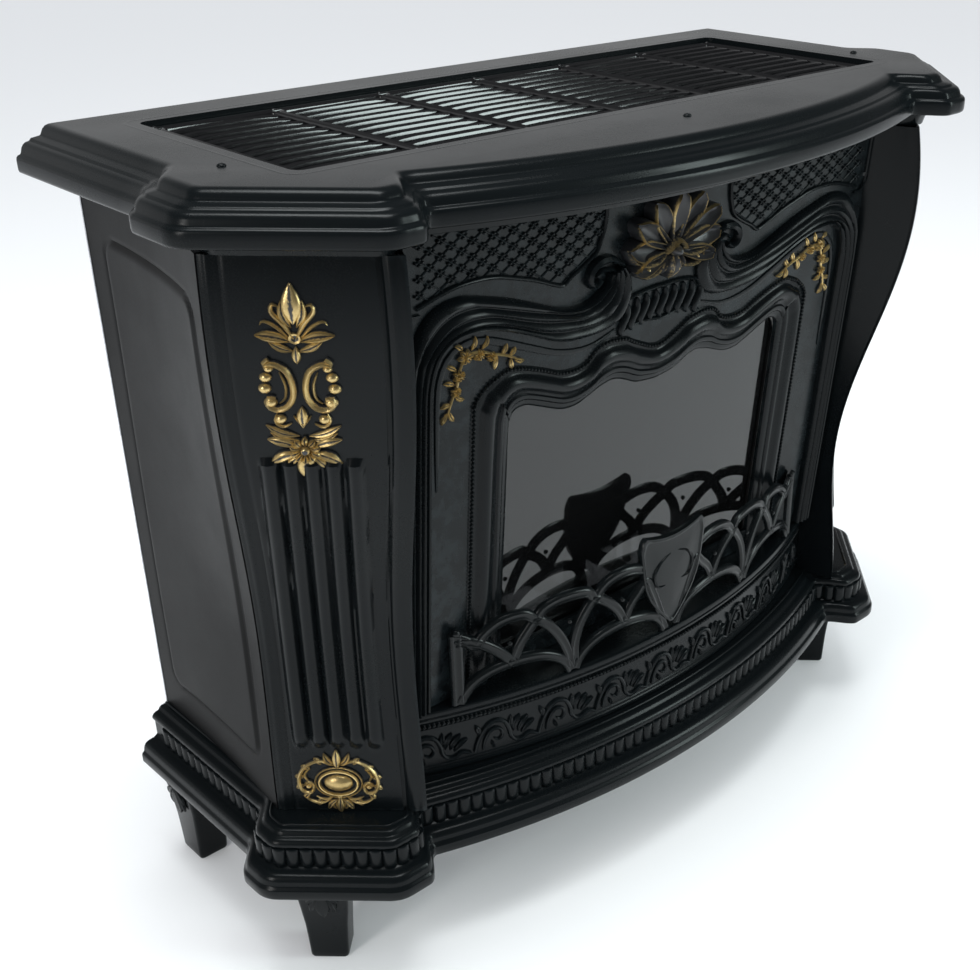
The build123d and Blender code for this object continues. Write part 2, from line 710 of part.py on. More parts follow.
def fence_profile():
    """Upright face of the whole fence: stepped cells of arches and a shield."""
    cell = (FENCE_HALF - SHIELD_HALF) / FENCE_CELLS
    foot = LEDGE_TOP_Z
    face = Pos(0, foot + SHIELD_HEIGHT * 0.42) * Rectangle(2 * SHIELD_HALF, SHIELD_HEIGHT * 0.84)
    face += Pos(0, foot + SHIELD_HEIGHT * 0.84) * Ellipse(SHIELD_HALF, SHIELD_HEIGHT * 0.16)
    for i in range(FENCE_CELLS):
        height = FENCE_END_HEIGHT - 12 + FENCE_STEP * i
        centre = FENCE_HALF - cell * (i + 0.5)
        for side in (-1, 1):
            face += Pos(side * centre, foot + height / 2) * Rectangle(cell + 0.2, height)
            face += Pos(side * centre, foot + height) * Ellipse(cell / 2, 10)
    for side in (-1, 1):
        post = side * (FENCE_HALF - FENCE_BAR / 2)
        face += Pos(post, foot + FENCE_END_HEIGHT / 2) * Rectangle(FENCE_BAR, FENCE_END_HEIGHT)
        face -= arch_face(side * SHIELD_HALF * 0.5, foot + 16, SHIELD_HALF * 0.3, 40)
    for i in range(FENCE_CELLS):
        height = FENCE_END_HEIGHT - 12 + FENCE_STEP * i
        centre = FENCE_HALF - cell * (i + 0.5)
        for side in (-1, 1):
            face -= arch_face(side * centre, foot + 34, cell / 2 - FENCE_BAR, height - 38)
            low = Pos(side * centre, foot + FENCE_BAR / 2) * Rectangle(cell - FENCE_BAR, 20)
            face -= low
    return face


def fire_fence():
    plane = Plane(origin=(0, 0, 0), x_dir=(1, 0, 0), z_dir=(0, -1, 0))
    slab = extrude(plane * fence_profile(), 2 * FENCE_REACH)
    curve = bowed_strip(FENCE_HALF, FENCE_REACH, LEDGE_RADIUS, FENCE_THICK, LEDGE_TOP_Z, CORNICE_Z)
    return slab & curve


# Firebox and flue
def firebox():
    front = front_y(FIREBOX_BOTTOM_Z) + FRONT_PLATE + GASKET_THICK + GLASS_THICK + RETAINER_THICK + FIT
    tilt = tan(FRONT_TILT)
    size = FIREBOX_HALF
    lean = (FIREBOX_TOP_Z - FIREBOX_BOTTOM_Z) * tilt
    profile = [(front + 1, FIREBOX_BOTTOM_Z), (-FIREBOX_REAR, FIREBOX_BOTTOM_Z),
               (-FIREBOX_REAR, FIREBOX_TOP_Z), (front + 1 - lean, FIREBOX_TOP_Z)]
    side = make_face(Plane.YZ * Polyline(*profile, close=True))
    box = Pos(-size, 0, 0) * extrude(side, 2 * size)
    wall = FIREBOX_WALL
    box -= block(-size + wall, size - wall, -400, -FIREBOX_REAR - wall, FIREBOX_BOTTOM_Z + wall,
                 FIREBOX_TOP_Z - wall)
    slot_y = -FIREBOX_REAR - 20 - FLUE_SLOT_DEPTH / 2
    slot = Pos(0, slot_y, FIREBOX_TOP_Z) * Box(FLUE_SLOT_LENGTH, FLUE_SLOT_DEPTH, 20)
    inlet = Pos(0, -BURNER_Y, FIREBOX_BOTTOM_Z) * Box(BURNER_LENGTH, 5 * BURNER_RADIUS, 20)
    return box - slot - inlet


def flue_box():
    wall = FIREBOX_WALL
    rear = FLUE_BOX_FRONT - FLUE_BOX_DEPTH
    z0, z1 = FIREBOX_TOP_Z, FIREBOX_TOP_Z + FLUE_BOX_HEIGHT
    box = block(-FLUE_BOX_HALF, FLUE_BOX_HALF, -FLUE_BOX_FRONT - wall, -rear + wall, z0, z1)
    box -= block(-FLUE_BOX_HALF + wall, FLUE_BOX_HALF - wall, -FLUE_BOX_FRONT, -rear, z0 - 1, z1 - wall)
    return box - rod((0, -rear + wall + 1, FLUE_Z), (0, -1, 0), COLLAR_RADIUS - COLLAR_WALL, wall + 2)


def flue_collar():
    """Round flue spigot with the flange that seats on the flue box."""
    start = -(FLUE_BOX_FRONT - FLUE_BOX_DEPTH) + FIREBOX_WALL
    tube = rod((0, 0, FLUE_Z), (0, 1, 0), COLLAR_RADIUS, COLLAR_REACH)
    tube += rod((0, start, FLUE_Z), (0, 1, 0), COLLAR_RADIUS - COLLAR_STEP, -start)
    tube += rod((0, start, FLUE_Z), (0, 1, 0), COLLAR_RADIUS + COLLAR_FLANGE, FIREBOX_WALL)
    bore = COLLAR_RADIUS - COLLAR_WALL
    return tube - rod((0, start - 1, FLUE_Z), (0, 1, 0), bore, COLLAR_REACH - start + 2)


# Burner
def burner_tube():
    half = BURNER_LENGTH / 2
    tube = rod((-half, -BURNER_Y, BURNER_Z), (1, 0, 0), BURNER_RADIUS, BURNER_LENGTH)
    tube -= rod((-half + SHEET, -BURNER_Y, BURNER_Z), (1, 0, 0), BURNER_RADIUS - SHEET,
                BURNER_LENGTH - 2 * SHEET)
    tube -= rod((0, -BURNER_Y, BURNER_Z), (0, 0, -1), MIXER_BORE, BURNER_RADIUS + 1)
    for i in range(BURNER_PORTS):
        x = (i - (BURNER_PORTS - 1) / 2) * (BURNER_LENGTH - 40) / BURNER_PORTS
        tube -= rod((x, -BURNER_Y, BURNER_Z), (0, 0, 1), BURNER_PORT_RADIUS, BURNER_RADIUS + 1)
    return tube


def mixer_tube():
    """Upright tube that mixes gas and air under the burner, with two air windows."""
    spot = (0, -BURNER_Y, MIXER_TOP_Z)
    tube = rod(spot, (0, 0, -1), MIXER_RADIUS, MIXER_LENGTH)
    tube -= rod(spot, (0, 0, -1), MIXER_BORE, MIXER_LENGTH + 1)
    tube -= rod((-30, -BURNER_Y, BURNER_Z), (1, 0, 0), BURNER_RADIUS, 60)
    return tube - Pos(0, -BURNER_Y, SHUTTER_Z + SHUTTER_LENGTH / 2) * Box(60, 8, SHUTTER_LENGTH - 6)


def air_shutter():
    """Turning sleeve that covers the air windows more or less."""
    bore = MIXER_RADIUS + SHUTTER_FIT
    spot = (0, -BURNER_Y, SHUTTER_Z)
    sleeve = rod(spot, (0, 0, 1), bore + SHUTTER_WALL, SHUTTER_LENGTH)
    sleeve -= rod(spot, (0, 0, 1), bore, SHUTTER_LENGTH)
    sleeve += block(-3, 3, -BURNER_Y - bore - 14, -BURNER_Y - bore - 1, SHUTTER_Z, SHUTTER_Z + 6)
    return sleeve - Pos(0, -BURNER_Y, SHUTTER_Z + SHUTTER_LENGTH / 2) * Box(60, 8, SHUTTER_LENGTH - 6)


def injector():
    spot = (0, -BURNER_Y, INJECTOR_TOP_Z)
    return rod(spot, (0, 0, -1), INJECTOR_RADIUS, INJECTOR_LENGTH) + rod(spot, (0, 0, -1), 9, 8)


def burner_bracket():
    """Two uprights that carry the burner over the firebox floor."""
    floor = FIREBOX_BOTTOM_Z + FIREBOX_WALL
    saddle = None
    for side in (-1, 1):
        x = side * (BURNER_LENGTH / 2 - 12)
        leg = block(x - 2, x + 2, -BURNER_Y - 50, -BURNER_Y + 50, floor, BURNER_Z - BURNER_RADIUS)
        saddle = leg if saddle is None else saddle + leg
    return saddle


def firebox_stand():
    """A folded bracket that carries one side of the firebox off the floor pan."""
    x = FIREBOX_HALF - STAND_INSET
    low = BODY_Z + TIER_GAP + SHEET
    upright = block(x, x + SHEET, -STAND_FRONT, -FIREBOX_REAR - 10, low, FIREBOX_BOTTOM_Z)
    stand = upright
    for z in (low, FIREBOX_BOTTOM_Z - SHEET):
        stand += block(x, x + STAND_FLANGE, -STAND_FRONT, -FIREBOX_REAR - 10, z, z + SHEET)
    return stand


def pilot_set(x, radius, height):
    """An upright pilot piece beside the burner, standing on a small bracket."""
    y = -BURNER_Y - BURNER_RADIUS - 9
    return rod((x, y, FIREBOX_BOTTOM_Z + FIREBOX_WALL), (0, 0, 1), radius, height)


# Gas valve and controls
def valve_body():
    front = -VALVE_FRONT
    half = VALVE_SIZE / 2
    rear = front + VALVE_LENGTH
    body = block(VALVE_X - half, VALVE_X + half, front, rear, VALVE_Z - half + 4, VALVE_Z + half)
    body += rod((VALVE_X, front + 2, VALVE_Z), (0, -1, 0), VALVE_BORE + 4, 8)
    body -= rod((VALVE_X, front - 10, VALVE_Z), (0, 1, 0), VALVE_BORE, VALVE_LENGTH - 4)
    body -= rod((VALVE_X - half - 1, front + 46, VALVE_Z), (1, 0, 0), PIPE_RADIUS, half)
    return body


def tap_plug():
    """Turning plug of the gas tap, with a keyed bore for the spindle."""
    start = -VALVE_FRONT + 8
    plug = rod((VALVE_X, start, VALVE_Z), (0, 1, 0), VALVE_BORE - PLUG_FIT, 34)
    key = rod((VALVE_X, start - 1, VALVE_Z), (0, 1, 0), SPINDLE_RADIUS + SPINDLE_FIT, 24)
    flat = block(VALVE_X - 10, VALVE_X + 10, start - 2, start + 24, VALVE_Z + SPINDLE_KEY + SPINDLE_FIT,
                 VALVE_Z + 10)
    return plug - (key - flat)


def valve_spindle():
    rear = -VALVE_FRONT + 8 + 22 - KNOB_PUSH
    spindle = rod((VALVE_X, KNOB_FACE_Y + 5, VALVE_Z), (0, 1, 0), SPINDLE_RADIUS, rear - KNOB_FACE_Y - 5)
    return spindle - block(VALVE_X - 10, VALVE_X + 10, KNOB_FACE_Y, 0, VALVE_Z + SPINDLE_KEY, VALVE_Z + 10)


def control_knob():
    knob = rod((VALVE_X, KNOB_FACE_Y, VALVE_Z), (0, 1, 0), KNOB_RADIUS, KNOB_LENGTH)
    low, high = VALVE_Z - KNOB_RADIUS - 1, VALVE_Z + KNOB_RADIUS + 1
    for side in (-1, 1):
        near, far = VALVE_X + side * KNOB_GRIP / 2, VALVE_X + side * (KNOB_RADIUS + 1)
        knob -= block(near, far, KNOB_FACE_Y - 1, KNOB_FACE_Y + KNOB_GRIP_DEPTH, low, high)
    return knob - valve_spindle()


def igniter_body():
    front = -VALVE_FRONT - 4
    body = rod((IGNITER_X, front, VALVE_Z), (0, 1, 0), IGNITER_RADIUS, IGNITER_LENGTH)
    body += rod((IGNITER_X, front, VALVE_Z), (0, 1, 0), IGNITER_RADIUS + 3, 3)
    return body - rod((IGNITER_X, front - 1, VALVE_Z), (0, 1, 0), BUTTON_RADIUS + BUTTON_FIT, 20)


def igniter_button():
    return rod((IGNITER_X, -VALVE_FRONT - 14, VALVE_Z), (0, 1, 0), BUTTON_RADIUS, 22)


def control_bracket():
    """Upright plate in front of the floor that carries the tap and the igniter."""
    y = -VALVE_FRONT + VALVE_LENGTH
    low = BODY_Z + TIER_GAP + SHEET
    plate = block(VALVE_X - 40, IGNITER_X + 10, y, y + SHEET, low, VALVE_Z + VALVE_SIZE / 2)
    foot = block(VALVE_X - 40, IGNITER_X + 10, y, y + 26, low, low + SHEET)
    arm_y = -VALVE_FRONT - 4 + IGNITER_LENGTH
    arm = block(IGNITER_X - 10, IGNITER_X + 10, arm_y, y + 1, VALVE_Z - 8, VALVE_Z + 8)
    pipe_hole = rod((VALVE_X, y - 1, injector_pipe_z()), (0, 1, 0), PIPE_RADIUS + FIT, SHEET + 2)
    return plate + foot + arm - pipe_hole


def pipe_route(points, radius, bend):
    """A bent pipe along straight runs joined by arcs."""
    path = FilletPolyline(*points, radius=bend)
    start = Plane(origin=points[0], z_dir=Vector(*points[1]) - Vector(*points[0]))
    return sweep(start * Circle(radius), path=path)


def inlet_pipe():
    y = -VALVE_FRONT + 46
    x = VALVE_X - VALVE_SIZE / 2
    points = [(x, y, VALVE_Z), (INLET_X, y, VALVE_Z), (INLET_X, -110, VALVE_Z), (INLET_X, -60, INLET_Z),
              (INLET_X, -SHEET - 20, INLET_Z)]
    return pipe_route(points, PIPE_RADIUS, PIPE_BEND)


def inlet_nipple():
    tube = rod((INLET_X, 0, INLET_Z), (0, 1, 0), INLET_RADIUS, INLET_LENGTH)
    tube += rod((INLET_X, -SHEET - 20, INLET_Z), (0, 1, 0), INLET_RADIUS - INLET_STEP, SHEET + 20)
    bore = INLET_RADIUS - INLET_WALL
    return tube - rod((INLET_X, INLET_LENGTH + 1, INLET_Z), (0, -1, 0), bore, INLET_LENGTH + 10)


def burner_pipe():
    """Pipe from the rear of the tap to the injector under the burner."""
    low = injector_pipe_z()
    rear = -VALVE_FRONT + VALVE_LENGTH
    points = [(VALVE_X, rear, low), (VALVE_X, -BURNER_Y, low), (INJECTOR_RADIUS, -BURNER_Y, low)]
    return pipe_route(points, PIPE_RADIUS, PIPE_BEND)


def injector_pipe_z():
    return INJECTOR_TOP_Z - INJECTOR_LENGTH / 2


def foot():
    """A short tapered leg, square to the way it faces."""
    top = Rectangle(FOOT_TOP_WIDTH, FOOT_TOP_DEPTH)
    knee = Pos(0, 0, -FOOT_HEIGHT * 0.45) * Rectangle(FOOT_BOTTOM_WIDTH + 10, FOOT_BOTTOM_DEPTH + 6)
    sole = Pos(0, 0, -FOOT_HEIGHT) * Rectangle(FOOT_BOTTOM_WIDTH, FOOT_BOTTOM_DEPTH)
    return loft([top, knee, sole], ruled=True)


def placed_feet():
    """The four feet: the front ones face outward at 45 degrees, the rear ones to the side."""
    spots = {
        "foot_front": (FRONT_FOOT_X, -FRONT_FOOT_Y_AT, 45),
        "foot_rear": (REAR_FOOT_X, -REAR_FOOT_Y_AT, 90),
    }
    feet = {}
    for name, (x, y, turn) in spots.items():
        right = Pos(x, y, FOOT_HEIGHT) * Rot(0, 0, turn) * foot()
        feet[name + "_right"] = right
        feet[name + "_left"] = mirror_left(right)
    return feet


def top_screw_spots():
    x = CORNICE_SIDE - TOP_SCREW_INSET
    return [(0, -CORNICE_BOW_REACH + FRONT_SCREW_INSET), (-x, TOP_SCREW_Y), (x, TOP_SCREW_Y)]


def top_screws():
    """Screws that hold the cornice to the casing, one at the front and one at each side."""
    return Compound([screw((x, y, TOP_Z), (0, 0, -1)) for x, y in top_screw_spots()])


def pins():
    """Small screws at the edges of the front plate."""
    spots = [(side * (FRONT_HALF - 2.8), z) for side in (-1, 1) for z in PIN_HEIGHTS]
    plane = front_plane()
    heads = [plane * Pos(x, up_plate(z), 0) for x, z in spots]
    return Compound([extrude(spot * Circle(PIN_RADIUS), PIN_RISE) for spot in heads])


def nodes():
    """Every piece by name, on the rear-plane frame."""
    column = corner_column()
    frame = front_frame()
    paired = {
        "side_panel": side_panel(),
        "corner_column": column,
        "column_ornament": column_ornament(column),
        "cartouche": cartouche(),
        "corner_spray": corner_spray(),
        "firebox_stand": firebox_stand(),
    }
    pieces = {
        "base_plinth": base_plinth(),
        "floor_pan": floor_pan(),
        "rear_panel": rear_panel(),
        "top_cover": top_cover(),
        "top_grille": top_grille(),
        "front_frame": frame,
        "window_gasket": window_gasket(),
        "window_glass": window_glass(),
        "window_retainer": window_retainer(),
        "shell_ornament": shell_ornament() - frame,
        "tongue_ornament": tongue_ornament() - frame,
        "ledge": ledge(),
        "access_panel": access_panel(),
        "fire_fence": fire_fence(),
        "firebox": firebox(),
        "flue_box": flue_box(),
        "flue_collar": flue_collar(),
        "burner_tube": burner_tube(),
        "mixer_tube": mixer_tube(),
        "air_shutter": air_shutter(),
        "injector": injector(),
        "burner_bracket": burner_bracket(),
        "pilot_burner": pilot_set(PILOT_X, 5, 46),
        "thermocouple": pilot_set(PILOT_X + 22, 3, 52),
        "spark_electrode": pilot_set(PILOT_X - 20, 2.5, 50),
        "valve_body": valve_body(),
        "tap_plug": tap_plug(),
        "valve_spindle": valve_spindle(),
        "control_knob": control_knob(),
        "igniter_body": igniter_body(),
        "igniter_button": igniter_button(),
        "control_bracket": control_bracket(),
        "inlet_pipe": inlet_pipe(),
        "inlet_nipple": inlet_nipple(),
        "burner_pipe": burner_pipe(),
        "rear_screws": rear_screws(),
        "top_screws": top_screws(),
        "front_pins": pins(),
        **placed_feet(),
    }
    for name, shape in paired.items():
        pieces[name + "_right"] = shape
        pieces[name + "_left"] = mirror_left(shape)
    return pieces


os.makedirs("parts", exist_ok=True)
for name, shape in nodes().items():
    export_step(Pos(0, REAR_SHIFT, 0) * shape, f"parts/{name}.step")
    print(name)
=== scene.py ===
"""Dresses the gas heater: fine castings, enamel, brass and glass around the fixed CAD frame."""

import logging
from dataclasses import dataclass
from enum import Enum
from math import asin, cos, hypot, pi, radians, sin, sqrt, tan
from typing import Callable, Sequence

import bmesh
import bpy
from mathutils import Matrix, Vector
from mathutils.geometry import tessellate_polygon

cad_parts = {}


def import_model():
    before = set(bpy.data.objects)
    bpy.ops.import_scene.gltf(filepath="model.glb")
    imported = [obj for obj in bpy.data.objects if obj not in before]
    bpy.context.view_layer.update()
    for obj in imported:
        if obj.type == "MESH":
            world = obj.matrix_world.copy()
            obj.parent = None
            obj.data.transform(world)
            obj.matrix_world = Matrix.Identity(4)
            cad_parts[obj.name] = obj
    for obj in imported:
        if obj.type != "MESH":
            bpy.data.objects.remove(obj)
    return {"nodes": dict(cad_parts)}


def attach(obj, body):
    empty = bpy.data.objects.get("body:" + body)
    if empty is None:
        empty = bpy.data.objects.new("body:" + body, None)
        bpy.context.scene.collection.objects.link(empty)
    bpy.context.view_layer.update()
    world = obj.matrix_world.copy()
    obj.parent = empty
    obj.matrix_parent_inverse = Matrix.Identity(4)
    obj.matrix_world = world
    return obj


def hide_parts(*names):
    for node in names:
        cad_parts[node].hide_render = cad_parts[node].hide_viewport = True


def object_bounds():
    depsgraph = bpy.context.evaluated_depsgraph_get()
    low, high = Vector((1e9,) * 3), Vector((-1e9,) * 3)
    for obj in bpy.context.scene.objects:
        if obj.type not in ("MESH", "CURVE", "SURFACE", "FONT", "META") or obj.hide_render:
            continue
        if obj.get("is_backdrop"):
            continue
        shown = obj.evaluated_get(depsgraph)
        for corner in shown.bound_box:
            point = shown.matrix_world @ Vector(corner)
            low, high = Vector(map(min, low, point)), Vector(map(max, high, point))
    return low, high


LOG = logging.getLogger("heater")

MM = 0.001
REAR_SHIFT = 201.0
TOP_Z = 795.0
CORNICE_Z = 742.0
BODY_Z = 180.0
BASE_Z = 119.0
GRILLE_Y = -172.0

Spot = tuple[float, float]
Row = tuple[float, float, float]
Profile = list[Row]


class Body(str, Enum):
    """Bodies of the frame that pieces ride on."""

    HEATER = "heater"
    GRILLE = "grille"
    APRON = "apron"
    KNOB = "knob"


class Slot(str, Enum):
    """Names of the material slots."""

    SATIN = "satin_black"
    SHEET = "black_sheet"
    ENAMEL = "gloss_enamel"
    BRASS = "antique_brass"
    STEEL = "bare_steel"
    KNOB = "knob_plastic"


def lay(x: float, y: float, z: float) -> Vector:
    """Turns millimetres measured from the casing's rear plane into the frame's metres."""
    return Vector((x * MM, (y + REAR_SHIFT) * MM, z * MM))


# Surfaces that reliefs are laid on
class Face:
    """A surface with two ways along it, in millimetres, and a height off it."""

    def at(self, s: float, t: float, h: float) -> Vector:
        """Point at s across, t up and h off the surface."""
        raise NotImplementedError

    def turn(self, s: float, t: float) -> tuple[Vector, Vector]:
        """Gives the way across the surface and the way out of it.

        Args:
            s: Millimetres across.
            t: Millimetres up.

        Returns:
            Two unit vectors, along s and outwards.
        """
        here = self.at(s, t, 0.0)
        along = (self.at(s + 0.5, t, 0.0) - here).normalized()
        out = (self.at(s, t, 1.0) - here).normalized()
        return along, out


@dataclass(frozen=True)
class FrontFace(Face):
    """The leaning front plate: s is X and t is the height above the floor."""

    foot_y: float = -290.0
    lean: float = radians(5.03)

    def y(self, z: float) -> float:
        """Y of the plate's face at a height."""
        return self.foot_y - (z - BODY_Z) * tan(self.lean)

    def at(self, s: float, t: float, h: float) -> Vector:
        """Point on or off the leaning plate."""
        return lay(s, self.y(t) - h * cos(self.lean), t - h * sin(self.lean))


@dataclass(frozen=True)
class BowFace(Face):
    """An upright surface bowed forwards, with t as the height."""

    reach: float
    radius: float

    def at(self, s: float, t: float, h: float) -> Vector:
        """Point on or off the bow."""
        middle = self.radius - self.reach
        turn = asin(max(-1.0, min(1.0, s / self.radius)))
        size = self.radius + h
        return lay(size * sin(turn), middle - size * cos(turn), t)


@dataclass(frozen=True)
class FlatFace(Face):
    """A flat surface given by a corner, the way across and the way up."""

    origin: tuple[float, float, float]
    across: tuple[float, float, float]
    up: tuple[float, float, float]

    def at(self, s: float, t: float, h: float) -> Vector:
        """Point on or off the flat surface."""
        a, u = Vector(self.across).normalized(), Vector(self.up).normalized()
        spot = Vector(self.origin) + a * s + u * t + a.cross(u) * h
        return lay(*spot)


@dataclass(frozen=True)
class Swell:
    """The law by which the corner columns swell with the height."""

    waist_z: float = 345.0
    belly_z: float = 670.0
    inset: float = -6.0
    swell: float = 61.0
    flare: float = 12.0

    def at(self, z: float) -> float:
        """How far the columns stand out at a height."""
        if z >= self.waist_z:
            turn = (z - self.waist_z) / (self.belly_z - self.waist_z)
            return self.inset + self.swell * (1 - cos(pi * turn)) / 2
        turn = (self.waist_z - z) / (self.waist_z - BODY_Z)
        return self.inset + self.flare * (1 - cos(pi * turn)) / 2

    def rear(self, z: float) -> Spot:
        """Rear corner of the cant at a height."""
        out = self.at(z)
        return 424.0 + 0.60 * out, -232.0 - 0.75 * out

    def front(self, z: float) -> Spot:
        """Front corner of the cant at a height."""
        out = self.at(z)
        return 322.0 + 0.38 * out, -334.0 - 0.97 * out


SWELL = Swell()


@dataclass(frozen=True)
class CantFace(Face):
    """The swelling cant of a corner column; s runs from its middle towards the front."""

    side: int
    shift: float = 0.0

    def at(self, s: float, t: float, h: float) -> Vector:
        """Point on or off the cant."""
        (xr, yr), (xf, yf) = SWELL.rear(t), SWELL.front(t)
        way = Vector((xf - xr, yf - yr, 0.0)).normalized()
        middle = Vector(((xr + xf) / 2, (yr + yf) / 2, t))
        slope = (SWELL.at(t + 2) - SWELL.at(t - 2)) / 4 * 0.95
        out = Vector((-way.y, way.x, 0.0))
        out = Vector((abs(out.x), -abs(out.y), -slope)).normalized()
        spot = middle + way * (s + self.shift) + out * h
        return lay(self.side * spot.x, spot.y, spot.z)


# Drafts of meshes
def half_round(width: float, height: float, sink: float = 1.0, steps: int = 6,
               gilt: float = 0.0) -> Profile:
    """Gives the profile of a half-round bead.

    Args:
        width: Width at the surface in millimetres.
        height: Height of the crown.
        sink: How far the bead goes into the surface.
        steps: Number of facets over the crown.
        gilt: Share of brass on the crown.

    Returns:
        Rows of offset, height and brass share.
    """
    rows = [(-width / 2, -sink, 0.0)]
    for i in range(steps + 1):
        turn = pi * i / steps
        rows.append((-width / 2 * cos(turn), height * sin(turn), gilt * sin(turn)))
    return rows + [(width / 2, -sink, 0.0)]


def banded(rows: Sequence[Spot], sink: float = 1.0, gilt: float = 0.0) -> Profile:
    """Profile through given offsets and heights, closed under the surface."""
    top = max(h for _, h in rows) or 1.0
    body = [(a, h, gilt * h / top) for a, h in rows]
    return [(rows[0][0], -sink, 0.0), *body, (rows[-1][0], -sink, 0.0)]


def smooth_path(points: Sequence[Spot], step: float = 3.0, closed: bool = False) -> list[Spot]:
    """Rounds a run of points with a Catmull-Rom curve.

    Args:
        points: Points in millimetres.
        step: Distance between the points of the result.
        closed: True for a loop.

    Returns:
        The points of the smooth run.
    """
    n = len(points)
    result: list[Spot] = []
    for i in range(n if closed else n - 1):
        if closed:
            p = [points[(i + k) % n] for k in (-1, 0, 1, 2)]
        else:
            p = [points[max(0, min(n - 1, i + k))] for k in (-1, 0, 1, 2)]
        span = hypot(p[2][0] - p[1][0], p[2][1] - p[1][1])
        count = max(1, round(span / step))
        for k in range(count):
            u = k / count
            spot = []
            for axis in (0, 1):
                a, b, c, d = (q[axis] for q in p)
                spot.append(0.5 * (2 * b + (c - a) * u + (2 * a - 5 * b + 4 * c - d) * u * u
                                   + (3 * b - a - 3 * c + d) * u ** 3))
            result.append((spot[0], spot[1]))
    if not closed:
        result.append((float(points[-1][0]), float(points[-1][1])))
    return result


def even_path(points: Sequence[Spot], count: int) -> list[Spot]:
    """Divides a run into a given number of evenly spaced points."""
    lengths = [0.0]
    for (ax, ay), (bx, by) in zip(points, points[1:]):
        lengths.append(lengths[-1] + hypot(bx - ax, by - ay))
    result = []
    index = 0
    for k in range(count):
        target = lengths[-1] * k / (count - 1)
        while index < len(points) - 2 and lengths[index + 1] < target:
            index += 1
        share = (target - lengths[index]) / max(1e-9, lengths[index + 1] - lengths[index])
        (ax, ay), (bx, by) = points[index], points[index + 1]
        result.append((ax + (bx - ax) * share, ay + (by - ay) * share))
    return result


def mirrored(points: Sequence[Spot]) -> list[Spot]:
    """The same run on the other side of the middle."""
    return [(-s, t) for s, t in points]


